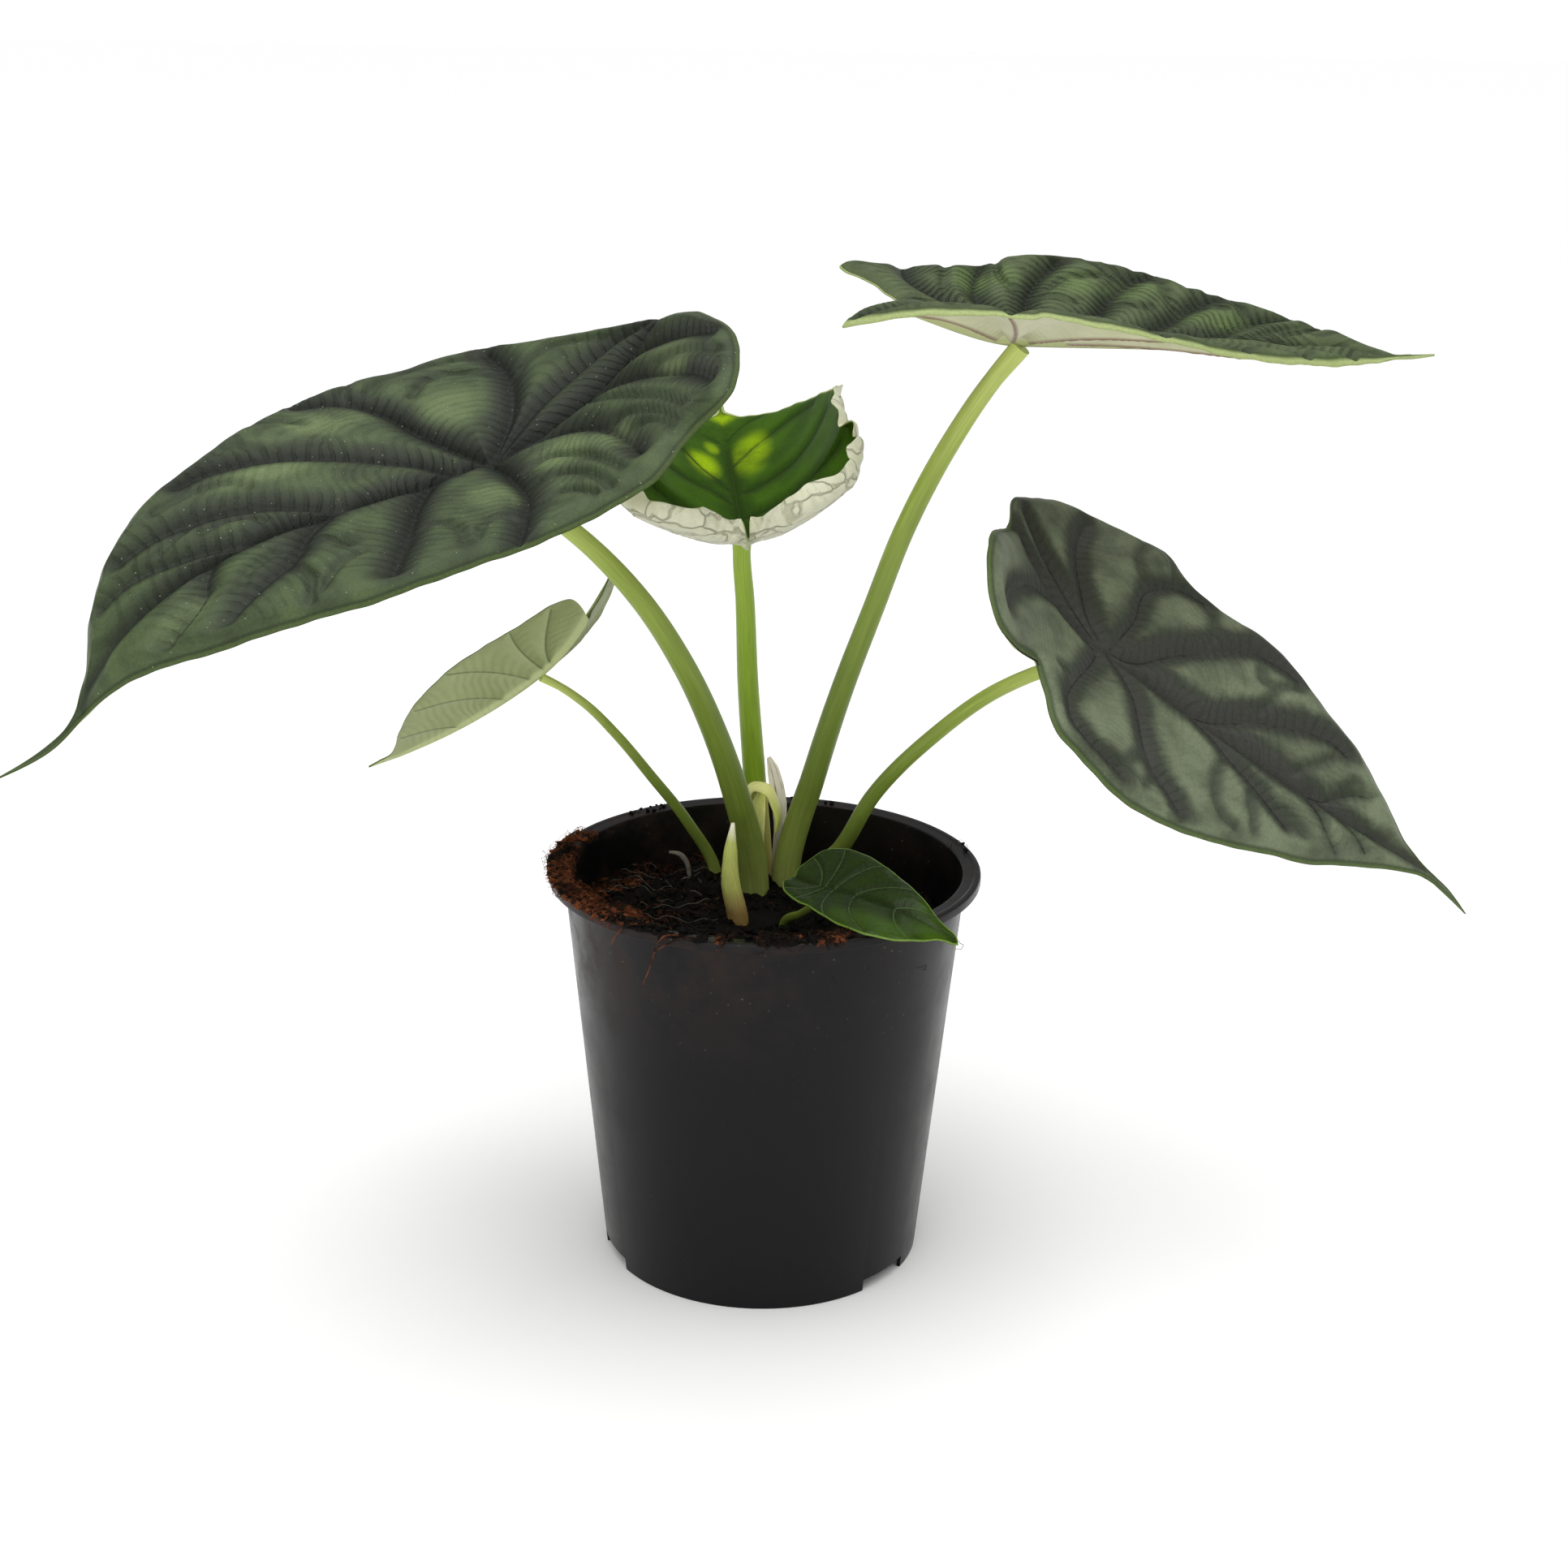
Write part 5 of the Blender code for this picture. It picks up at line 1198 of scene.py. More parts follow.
def measure(flat, courses):
    """Give each flat point's distance to the nearest course and past the nearest band, and its run.

    The run is how far along the courses the point lies. It passes smoothly from one course to the next,
    so that ribs drawn across it join up between two veins.
    """
    nearest = np.full(flat.shape[:2], FAR_OFF)
    beyond = nearest.copy()
    run = np.zeros_like(nearest)
    total = np.zeros_like(nearest)
    for behind, ahead, course in courses:
        longest = np.linalg.norm(np.diff(np.asarray(course, float), axis=0), axis=1).max()
        line = smooth_curve(course, max(6, math.ceil(longest / VEIN_STEP)))
        heading = np.gradient(line, axis=0)
        arc = np.concatenate([[0.0], np.cumsum(np.linalg.norm(np.diff(line, axis=0), axis=1))])
        toward = (line[-1] - line[0]) / np.linalg.norm(line[-1] - line[0])
        gap = np.hypot(flat[..., 0, None] - line[:, 0], flat[..., 1, None] - line[:, 1])
        at = gap.argmin(axis=-1)
        gap = gap.min(axis=-1)
        off = flat - line[at]
        cross = heading[at, 0] * off[..., 1] - heading[at, 1] * off[..., 0]
        lean = 0.5 + 0.5 * np.tanh(1.5 * cross / (np.hypot(heading[at, 0], heading[at, 1]) + 1e-9))
        width = (ahead + (behind - ahead) * lean) * (1.0 - BAND_TAPER * arc[at] / arc[-1])
        beyond = np.minimum(beyond, gap - width)
        weight = 1.0 / (gap**2 + RIB_BLEND)
        run += weight * (arc[at] + line[0] @ toward)
        total += weight
        nearest = np.minimum(nearest, gap)
    return nearest, beyond, run / total


def distance(flat, line):
    """Give each flat point's distance to the nearest of a line's points."""
    found = np.full(flat.shape[:2], FAR_OFF)
    for start in range(0, len(line), 40):
        part = line[start:start + 40]
        found = np.minimum(found, np.hypot(flat[..., 0, None] - part[:, 0],
                                           flat[..., 1, None] - part[:, 1]).min(axis=-1))
    return found


def blade_heights(blade, side, near, x, y):
    """Give the heights of the upper and the lower face over the middle of the blade.

    Each pad swells between its veins and its margin, with a shallow crease at every fold. The margin waves
    in sines of the length round it.
    """
    leaf = blade.leaf
    sheet = blade.sheet
    room = np.minimum(near["vein_mm"], np.minimum(1.3 * near["rib_mm"], 1.5 * near["edge_mm"]))
    swell = np.clip(room / sheet.dome, 0.0, 1.0)
    fade = np.clip((leaf.length - x) / TIP_FADE, 0.0, 1.0)
    high = sheet.puff * leaf.pad * swell * (2.0 - swell) * fade
    high = high * (1.0 - FOLD_DEPTH * np.exp(-(near["fold_mm"] / FOLD_WIDTH)**2))
    flutter = rise(sheet.flutter, FLUTTER_REACH, 0.0, near["edge_mm"])
    flutter = flutter * (1.0 - rise(1.0, *FLUTTER_END, x)) * (y > 3.0)
    arc = blade.rows[:, 1 if side > 0 else 2][:, None]
    high = high + flutter * (np.sin(arc / 2.3 + side) + 0.7 * np.sin(arc / 1.25) * np.sin(arc / 7.0))
    wave = np.sin(arc / 2.9 + side) + 0.6 * np.sin(arc / 1.3 + 2.0 * side) + 0.8 * np.sin(arc / 6.1)
    high = high + 0.6 * sheet.ripple * wave * np.exp(-near["edge_mm"] / RIPPLE_REACH) * (y > 1.0)
    taper = np.clip(1.1 - x / leaf.length, THIN_KEEL, 1.0)
    thick = THIN_EDGE + rise(BLADE_THICKNESS - THIN_EDGE, 0.0, EDGE_TAPER, near["edge_mm"])
    keel = KEEL * taper * np.exp(-(near["rib_mm"] / KEEL_WIDTH)**2)
    vein_keel = np.clip(1.0 - y / leaf.half_width, 0.0, 1.0)
    vein_keel = vein_keel * np.exp(-(near["vein_mm"] / VEIN_KEEL_WIDTH)**2)
    keel = np.maximum(keel, VEIN_KEEL * taper * vein_keel)
    return high + thick / 2, high - thick / 2 - keel


def curled(blade, side, x, y, point, normal, edge):
    """Roll the margin of the lobes and sides upwards and inwards, as on a blade that is still opening.

    The blade spreads a little first, so that the roll stays as wide as the flat blade was.
    """
    width, degrees = blade.sheet.curl
    margin = blade.curves[side][0]
    heading = np.gradient(margin, axis=0)
    outward = np.stack([-heading[:, 1], heading[:, 0]], axis=-1)
    outward /= np.maximum(np.linalg.norm(outward, axis=1, keepdims=True), 1e-9)
    outward *= np.sign((outward * (margin - margin.mean(axis=0))).sum(axis=1).mean())
    at = np.hypot(x[..., None] - margin[:, 0], y[..., None] - margin[:, 1]).argmin(axis=-1)
    step = outward[at]
    out = place(blade.leaf, side, x + step[..., 0], y + step[..., 1]) - place(blade.leaf, side, x, y)
    out /= np.linalg.norm(out, axis=-1, keepdims=True)
    share = rise(1.0, 0.1, 1.8, y) * (1.0 - rise(1.0, *CURL_END, x))
    arc = blade.rows[:, 1 if side > 0 else 2][:, None]
    uneven = 1.0 + CURL_UNEVEN * (np.sin(arc / 4.2 + 2.0 * side) + 0.5 * np.sin(arc / 1.9))
    past = np.clip(width - edge, 0.0, None) * share * uneven
    bend = math.radians(degrees) / width
    spread = (width - 1.0 / bend) * share * rise(1.0, CURL_SPREAD, width, edge)
    shift = (np.sin(bend * past) / bend - past + spread)[..., None]
    lift = ((1.0 - np.cos(bend * past)) / bend)[..., None]
    turned = normal * np.cos(bend * past)[..., None] - out * np.sin(bend * past)[..., None]
    return point + out * shift + normal * lift, turned


def fill_mesh(name, points, faces, materials):
    """Make a plain mesh from points in millimetres."""
    mesh = bpy.data.meshes.new(name)
    mesh.from_pydata((np.asarray(points) * MM).tolist(), [], faces)
    for material in materials:
        mesh.materials.append(material)
    mesh.shade_smooth()
    return mesh


def add_piece(name, mesh):
    """Put a mesh in the scene as an object."""
    piece = bpy.data.objects.new(name, mesh)
    bpy.context.scene.collection.objects.link(piece)
    return piece


def settle(piece, slot, *nodes):
    """Carry a piece made round the pot's middle to its place, hang it on the root and hide the model's parts
    that it replaces.
    """
    piece.data.transform(Matrix.Translation(Vector(POT_PLACE) * MM))
    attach(piece, "root")
    if nodes:
        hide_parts(*nodes)


def make_blade(sheet, materials):
    """Model a blade as two fine faces over its flat pattern, closed round the margin."""
    blade = Blade(sheet)
    leaf = sheet.leaf
    count = len(blade.rows)
    halves = []
    for side in (1, -1):
        x, y, near = blade.half(side)
        point = place(leaf, side, x, y)
        normal = blade_normals(leaf, side, x, y)
        middle = midrib_normals(leaf, x[:, 0])
        blend = np.exp(-(y / MIDRIB_BLEND)**2)[..., None]
        normal = normal * (1 - blend) + middle[:, None, :] * blend
        normal /= np.linalg.norm(normal, axis=-1, keepdims=True)
        up, down = blade_heights(blade, side, near, x, y)
        if sheet.curl[1]:
            point, normal = curled(blade, side, x, y, point, normal, near["edge_mm"])
        halves.append((point + normal * up[..., None], point + normal * down[..., None], near))
    left, right = halves

    def joined(first, second):
        return np.concatenate([first[:, :0:-1], second], axis=1)

    width = 2 * len(blade.v) - 1
    middle = width // 2
    keep = [grid.reshape(count, width, -1) for grid in (joined(left[0], right[0]), joined(left[1], right[1]))]

    def flat_list(grid):
        return np.concatenate([grid[1:-1].reshape(-1, *grid.shape[2:]), grid[:1, middle], grid[-1:, middle]])

    inner = (count - 2) * width
    index = np.arange(inner).reshape(count - 2, width)
    index = np.vstack([np.full((1, width), inner), index, np.full((1, width), inner + 1)])
    quads = np.stack([index[:-1, :-1], index[1:, :-1], index[1:, 1:], index[:-1, 1:]], axis=-1).reshape(-1, 4)
    top = [tuple(dict.fromkeys(face)) for face in quads.tolist()]
    top = [face for face in top if len(face) > 2]
    size = inner + 2
    faces = top + [tuple(size + corner for corner in reversed(face)) for face in top]
    for column in (0, width - 1):
        edge = index[:, column].tolist()
        for here, there in zip(edge, edge[1:]):
            wall = (here, here + size, there + size, there)
            faces.append(wall if column == 0 else wall[::-1])
    points = np.concatenate([flat_list(grid) for grid in keep])
    mesh = fill_mesh("blade_" + leaf.name, points, faces, materials)
    under = np.zeros(len(faces), dtype=np.int32)
    under[len(top):2 * len(top)] = 1
    mesh.polygons.foreach_set("material_index", under)
    for label in left[2]:
        values = flat_list(joined(left[2][label], right[2][label]))
        layer = mesh.attributes.new(label, "FLOAT", "POINT")
        layer.data.foreach_set("value", np.concatenate([values, values]).astype(np.float32))
    settle(add_piece("fine_blade_" + leaf.name, mesh), sheet.slot, "blade_" + leaf.name)


def new_tree(name, sizes):
    """Start a Geometry Nodes tree with a geometry input and named sizes."""
    tree = bpy.data.node_groups.new(name, "GeometryNodeTree")
    tree.interface.new_socket("Geometry", in_out="INPUT", socket_type="NodeSocketGeometry")
    tree.interface.new_socket("Geometry", in_out="OUTPUT", socket_type="NodeSocketGeometry")
    for label, value in sizes.items():
        kind = {int: "NodeSocketInt", float: "NodeSocketFloat"}.get(type(value), "NodeSocketMaterial")
        tree.interface.new_socket(label, in_out="INPUT", socket_type=kind).default_value = value
    return tree, tree.nodes.new("NodeGroupInput"), tree.nodes.new("NodeGroupOutput")


def grown(name, source, tree, **sizes):
    """Run a tree on an object and keep the result as a plain mesh piece."""
    modifier = source.modifiers.new("grow", "NODES")
    modifier.node_group = tree
    for socket in tree.interface.items_tree:
        if socket.in_out == "INPUT" and socket.name in sizes:
            modifier[socket.identifier] = sizes[socket.name]
    bpy.context.view_layer.update()
    graph = bpy.context.evaluated_depsgraph_get()
    mesh = bpy.data.meshes.new_from_object(source.evaluated_get(graph), depsgraph=graph)
    bpy.data.objects.remove(source, do_unlink=True)
    mesh.name = name
    return add_piece(name, mesh)


def finish_tree(tree, group_output, geometry, material):
    """End a tree: real geometry with its material."""
    real = add(tree, "GeometryNodeRealizeInstances", {"Geometry": geometry})
    done = add(tree, "GeometryNodeSetMaterial", {"Geometry": real, "Material": material})
    tree.links.new(done.outputs["Geometry"], group_output.inputs["Geometry"])


def stalk_tree(material):
    """Sweep a stem along a path, with its place along and around kept for the skin's streaks."""
    tree, start, end = new_tree("swept_stem", {"Sides": STALK_SIDES, "Depth": 1.0, "Skin": material})
    factor = add(tree, "GeometryNodeSplineParameter")
    line = add(tree, "GeometryNodeStoreNamedAttribute",
               {"Geometry": start.outputs["Geometry"], "Name": "along", "Value": factor},
               data_type="FLOAT", domain="POINT")
    ring = add(tree, "GeometryNodeCurvePrimitiveCircle",
               {"Resolution": start.outputs["Sides"], "Radius": 1.0}, mode="RADIUS")
    turn_part = add(tree, "GeometryNodeSplineParameter")
    marked = add(tree, "GeometryNodeStoreNamedAttribute",
                 {"Geometry": ring, "Name": "around", "Value": turn_part},
                 data_type="FLOAT", domain="POINT")
    depth = add(tree, "ShaderNodeCombineXYZ", {"X": 1.0, "Y": start.outputs["Depth"], "Z": 1.0})
    flat = add(tree, "GeometryNodeTransform", {"Geometry": marked, "Scale": depth})
    radius = add(tree, "GeometryNodeInputRadius")
    swept = add(tree, "GeometryNodeCurveToMesh",
                {"Curve": line, "Profile Curve": flat,
                 "Scale": radius, "Fill Caps": True})
    smooth = add(tree, "GeometryNodeSetShadeSmooth", {"Geometry": swept})
    finish_tree(tree, end, smooth.outputs["Geometry"], start.outputs["Skin"])
    return tree


def path_object(name, points, radii):
    """Make a path in millimetres with a radius at each point."""
    curve = bpy.data.curves.new(name, "CURVE")
    curve.dimensions = "3D"
    spline = curve.splines.new("POLY")
    spline.points.add(len(points) - 1)
    for knot, point, radius in zip(spline.points, points, radii):
        knot.co = (*(np.asarray(point) * MM), 1.0)
        knot.radius = radius * MM
    thing = bpy.data.objects.new(name, curve)
    bpy.context.scene.collection.objects.link(thing)
    return thing


def stalk_line(leaf):
    """Give the points and radii of a stalk's path, from below the soil into the blade's keel."""
    joint = np.asarray(leaf.joint, float)
    end = joint - midrib_normals(leaf, np.zeros(1))[0] * (BLADE_THICKNESS / 2 + STALK_REACH)
    route = [np.asarray(point, float) for point in leaf.petiole]
    knots = [route[0] - (0.0, 0.0, STEM_DEPTH)] + route + [end]
    return knots, (leaf.radii[0],) + leaf.radii + (leaf.radii[-1] * STALK_FLARE,)


def make_stalks(tree, skin, back_skin):
    """Sweep the six stalks."""
    for leaf in LEAVES:
        strand("fine_petiole_" + leaf.name, tree, *stalk_line(leaf), "stem_green",
               back_skin if leaf is BACK else skin, ("petiole_" + leaf.name,))


def wall_radius(z):
    """Give the outer radius of the pot's wall at a height."""
    return WALL_FOOT_RADIUS + (WALL_TOP_RADIUS - WALL_FOOT_RADIUS) * z / POT_HEIGHT


def rounded(corners):
    """Round the corners of a profile. Each is a radius, a height and how far the rounding starts."""
    line = []
    for before, here, after in zip([corners[0]] + corners, corners, corners[1:] + [corners[-1]]):
        point = np.array(here[:2])
        if here[2] == 0:
            line.append(point)
            continue
        ways = [np.array(other[:2]) - point for other in (before, after)]
        start, end = (point + way * min(0.45, here[2] / np.linalg.norm(way)) for way in ways)
        for t in np.linspace(0, 1, 6):
            line.append((1 - t)**2 * start + 2 * t * (1 - t) * point + t**2 * end)
    return line


def pot_openings(deck):
    """Give the points and faces of what is cut from the pot: the gaps in its foot and the drain holes."""
    openings = []
    for start in FOOT_GAP_STARTS:
        corners = []
        for radius in (WALL_FOOT_RADIUS - CUTTER_REACH, WALL_FOOT_RADIUS + CUTTER_REACH):
            for degrees in (start, start + FOOT_GAP_ANGLE):
                angle = math.radians(degrees)
                corners.append((radius * math.cos(angle), radius * math.sin(angle)))
        order = (0, 2, 3, 1)
        points = [(*corners[i], -1.0) for i in order] + [(*corners[i], FOOT_GAP_HEIGHT) for i in order]
        faces = [(0, 1, 5, 4), (1, 2, 6, 5), (2, 3, 7, 6), (3, 0, 4, 7), (3, 2, 1, 0), (4, 5, 6, 7)]
        openings.append((points, faces))
    count = DRAIN_SIDES
    for step in range(DRAIN_COUNT):
        angle = 2 * math.pi * (step + 0.5) / DRAIN_COUNT
        ring = [(DRAIN_CIRCLE * math.cos(angle) + DRAIN_RADIUS * math.cos(a),
                 DRAIN_CIRCLE * math.sin(angle) + DRAIN_RADIUS * math.sin(a))
                for a in np.linspace(0, 2 * math.pi, count, endpoint=False)]
        points = [(*p, 2.0) for p in ring] + [(*p, deck + 1.0) for p in ring]
        faces = [(i, (i + 1) % count, (i + 1) % count + count, i + count) for i in range(count)]
        faces += [tuple(range(count))[::-1], tuple(range(count, 2 * count))]
        openings.append((points, faces))
    return openings


def make_pot(material):
    """Turn the pot's rounded profile and open its feet and drain holes."""
    deck = FLOOR_RAISE + FLOOR_THICKNESS
    under_rim = POT_HEIGHT - WALL
    profile = rounded([
        (0.0, FLOOR_RAISE, 0), (wall_radius(FLOOR_RAISE) - WALL, FLOOR_RAISE, 0.4),
        (wall_radius(0) - WALL, 0.0, 0.15), (wall_radius(0), 0.0, 0.35),
        (wall_radius(under_rim), under_rim, 0.6),
        (RIM_RADIUS - WALL, under_rim, 0.4), (RIM_RADIUS - WALL, POT_HEIGHT - RIM_LIP, 0.3),
        (RIM_RADIUS, POT_HEIGHT - RIM_LIP, 0.3), (RIM_RADIUS, POT_HEIGHT, RIM_ROUND),
        (RIM_RADIUS - 1.6, POT_HEIGHT, 0.5), (RIM_RADIUS - 2.0, POT_HEIGHT - 0.25, 0.3),
        (RIM_INNER_RADIUS, POT_HEIGHT - 0.35, 0.5),
        (wall_radius(deck) - WALL, deck, 0.8), (0.0, deck, 0),
    ])
    shape = bmesh.new()
    line = [shape.verts.new((radius * MM, 0.0, z * MM)) for radius, z in profile]
    edges = [shape.edges.new(pair) for pair in zip(line, line[1:])]
    bmesh.ops.spin(shape, geom=line + edges, cent=(0, 0, 0), axis=(0, 0, 1), steps=POT_SIDES,
                   angle=2 * math.pi, use_merge=True)
    bmesh.ops.remove_doubles(shape, verts=shape.verts, dist=1e-6)
    bmesh.ops.recalc_face_normals(shape, faces=shape.faces)
    mesh = bpy.data.meshes.new("pot")
    shape.to_mesh(mesh)
    shape.free()
    mesh.materials.append(material)
    pot = add_piece("fine_pot", mesh)
    blocks = [add_piece("cutter", fill_mesh("cutter", *shape, [material])) for shape in pot_openings(deck)]
    for block in blocks:
        modifier = pot.modifiers.new("cut", "BOOLEAN")
        modifier.operation = "DIFFERENCE"
        modifier.solver = "EXACT"
        modifier.object = block
    bpy.context.view_layer.update()
    graph = bpy.context.evaluated_depsgraph_get()
    mesh = bpy.data.meshes.new_from_object(pot.evaluated_get(graph))
    pot.modifiers.clear()
    pot.data = mesh
    for block in blocks:
        bpy.data.objects.remove(block, do_unlink=True)
    mesh.shade_smooth()
    mesh.set_sharp_from_angle(angle=math.radians(SHARP_ANGLE))
    settle(pot, "black_plastic", "pot")


def soil_height(x, y):
    """Heap the soil up to the rim at the front left and let it sink at the back right."""
    radius = np.hypot(x, y)
    out = np.clip((radius - SOIL_FLAT_RADIUS) / SOIL_SLOPE, 0.0, 1.0)
    out = out * out * (3 - 2 * out)
    toward = np.cos(np.arctan2(y, x) - math.radians(SOIL_HEAP_AZIMUTH))
    heap = SOIL_HEAP * out * np.clip(toward, 0, 1)**1.4
    dip = SOIL_DIP * out * np.clip(-toward, 0, 1)
    lumps = sum(high * np.sin(a * x + b * y + shift) for high, a, b, shift in SOIL_LUMPS)
    return SOIL_LEVEL + heap - dip + lumps * np.clip(radius / SOIL_SLOPE, 0.3, 1.0)


def make_camera():
    """Set the camera as the photograph was taken."""
    pitch, yaw, roll = (math.radians(a) for a in (CAMERA_PITCH, CAMERA_YAW, CAMERA_ROLL))
    ahead = Vector((math.sin(yaw) * math.cos(pitch), math.cos(yaw) * math.cos(pitch), -math.sin(pitch)))
    right = Vector((math.cos(yaw), -math.sin(yaw), 0.0))
    up = right.cross(ahead)
    side = right * math.cos(roll) + up * math.sin(roll)
    top = up * math.cos(roll) - right * math.sin(roll)
    data = bpy.data.cameras.new("camera")
    data.sensor_width = SENSOR
    data.lens = SENSOR * FOCAL_PIXELS / PHOTO_SIZE
    data.clip_end = 100.0
    camera = bpy.data.objects.new("camera", data)
    camera.matrix_world = Matrix((
        (side.x, top.x, -ahead.x, CAMERA_PLACE[0]), (side.y, top.y, -ahead.y, CAMERA_PLACE[1]),
        (side.z, top.z, -ahead.z, CAMERA_PLACE[2]), (0, 0, 0, 1)))
    bpy.context.scene.collection.objects.link(camera)
    bpy.context.scene.camera = camera


def soft_noise(x, y, size, seed):
    """Give smooth random heights from -1 to 1 with lumps of a size in millimetres."""
    across = np.floor(x / size)
    up = np.floor(y / size)
    fx = x / size - across
    fy = y / size - up
    fx = fx * fx * (3 - 2 * fx)
    fy = fy * fy * (3 - 2 * fy)

    def corner(i, j):
        value = np.sin(i * 127.1 + j * 311.7 + seed * 74.7) * 43758.5453
        return 2 * (value - np.floor(value)) - 1

    low = corner(across, up) * (1 - fx) + corner(across + 1, up) * fx
    high = corner(across, up + 1) * (1 - fx) + corner(across + 1, up + 1) * fx
    return low * (1 - fy) + high * fy


def ground_height(x, y):
    """Add the clods and crumbs to the soil's broad heap."""
    radius = np.hypot(x, y)
    rough = sum(high * soft_noise(x, y, size, number) for number, (high, size) in enumerate(CLODS))
    return soil_height(x, y) + rough * np.clip((radius - 4.0) / 12.0, 0.35, 1.0)


def make_soil(material):
    """Model the peat as a closed body: rough on top, following the pot's wall below."""
    inside = WALL + GAP
    low = FLOOR_RAISE + FLOOR_THICKNESS + GAP
    edge = wall_radius(SOIL_LEVEL) - inside
    rings = int(edge / SOIL_STEP)
    angles = np.linspace(0, 2 * math.pi, SOIL_SIDES, endpoint=False)
    points = [(0.0, 0.0, float(ground_height(np.float64(0.0), np.float64(0.0))))]
    for ring in range(1, rings + 1):
        radius = edge * ring / rings
        x, y = radius * np.cos(angles), radius * np.sin(angles)
        z = ground_height(x, y)
        if ring == rings:
            z = np.minimum(z, POT_HEIGHT + 1.0)
            x, y = (wall_radius(z) - inside) * np.cos(angles), (wall_radius(z) - inside) * np.sin(angles)
        points += list(zip(x, y, z))
    radius = wall_radius(low) - inside
    points += [(radius * math.cos(a), radius * math.sin(a), low) for a in angles]
    points.append((0.0, 0.0, low))
    faces = []
    foot = 1 + rings * SOIL_SIDES
    for step in range(SOIL_SIDES):
        after = (step + 1) % SOIL_SIDES
        faces.append((0, 1 + step, 1 + after))
        for ring in range(rings):
            a = 1 + ring * SOIL_SIDES
            faces.append((a + step, a + SOIL_SIDES + step, a + SOIL_SIDES + after, a + after))
        faces.append((foot + step, foot + SOIL_SIDES, foot + after))
    mesh = fill_mesh("soil", points, faces, [material])
    settle(add_piece("fine_soil", mesh), "peat", "soil")


def ground_patch(name, spots):
    """Make a rough sheet that follows the soil and the rim, as the base to scatter on.

    It has holes, more of them towards its ends and its inner side, and none of it stands on the pot's wall.
    """
    points = []
    faces = []
    for start, sweep, low, high in spots:
        around = max(4, int(sweep / PATCH_GRID[0]))
        across = max(2, int((high - low) / PATCH_GRID[1]))
        offset = len(points)
        for step in range(around + 1):
            angle = math.radians(start + sweep * step / around)
            for line in range(across + 1):
                radius = low + (high - low) * line / across
                x, y = radius * math.cos(angle), radius * math.sin(angle)
                z = float(ground_height(np.float64(x), np.float64(y)))
                if radius > RIM_INNER_RADIUS - 1:
                    z = POT_HEIGHT + 0.1
                points.append((x, y, z))
        for step in range(around):
            for line in range(across):
                a = offset + step * (across + 1) + line
                face = (a, a + across + 1, a + across + 2, a + 1)
                heights = [points[corner][2] for corner in face]
                ends = 4 * (step + 0.5) / around
                share = 1.0 if sweep == 360 else min(1.0, ends, 4 - ends, 0.4 + 2.0 * line / across)
                lump = soft_noise(points[a][0], points[a][1], RAGGED_SIZE, SEED)
                if lump > 1.0 - 1.7 * share and max(heights) - min(heights) < STEEPEST:
                    faces.append(face)
    mesh = fill_mesh(name, points, faces, [])
    return add_piece(name, mesh)


def strew(tree, start, end, thing, turned, scale):
    """End a tree that scatters a thing over the surface it gets."""
    spots = add(tree, "GeometryNodeDistributePointsOnFaces",
                {"Mesh": start.outputs["Geometry"], "Density": start.outputs["Per Area"],
                 "Seed": start.outputs["Seed"]})
    placed = add(tree, "GeometryNodeInstanceOnPoints",
                 {"Points": spots, "Instance": thing, "Rotation": turned, "Scale": scale})
    finish_tree(tree, end, placed, start.outputs["Skin"])


def crumb_tree(material):
    """Scatter small broken lumps over a surface."""
    tree, start, end = new_tree("crumbs", {"Per Area": 1.0, "Smallest": 0.001, "Largest": 0.002,
                                           "Stretch": 1.0, "Seed": SEED, "Skin": material})
    lump = add(tree, "GeometryNodeMeshIcoSphere", {"Radius": 0.5, "Subdivisions": 1})
    bent = add(tree, "ShaderNodeTexNoise", {"Scale": 2.2, "Detail": 1.0})
    push = add(tree, "ShaderNodeMath", {0: bent, 1: 0.5}, operation="SUBTRACT")
    normal = add(tree, "GeometryNodeInputNormal")
    shove = add(tree, "ShaderNodeVectorMath", {0: normal, "Scale": push}, operation="SCALE")
    broken = add(tree, "GeometryNodeSetPosition", {"Geometry": lump, "Offset": shove})
    size = add(tree, "FunctionNodeRandomValue",
               {2: start.outputs["Smallest"], 3: start.outputs["Largest"], "Seed": start.outputs["Seed"]},
               data_type="FLOAT")
    along = add(tree, "FunctionNodeRandomValue", {2: 0.7, 3: start.outputs["Stretch"], "Seed": SEED + 1},
                data_type="FLOAT")
    across = add(tree, "FunctionNodeRandomValue", {2: 0.5, 3: 1.0, "Seed": SEED + 2}, data_type="FLOAT")
    long = add(tree, "ShaderNodeMath", {0: size.outputs[1], 1: along.outputs[1]}, operation="MULTIPLY")
    flat = add(tree, "ShaderNodeMath", {0: size.outputs[1], 1: across.outputs[1]}, operation="MULTIPLY")
    scale = add(tree, "ShaderNodeCombineXYZ", {"X": long, "Y": size.outputs[1], "Z": flat})
    turned = add(tree, "FunctionNodeRandomValue",
                 {0: (-0.5, -0.5, 0.0), 1: (0.5, 0.5, 2 * math.pi), "Seed": SEED + 3},
                 data_type="FLOAT_VECTOR")
    strew(tree, start, end, broken, turned, scale)
    return tree


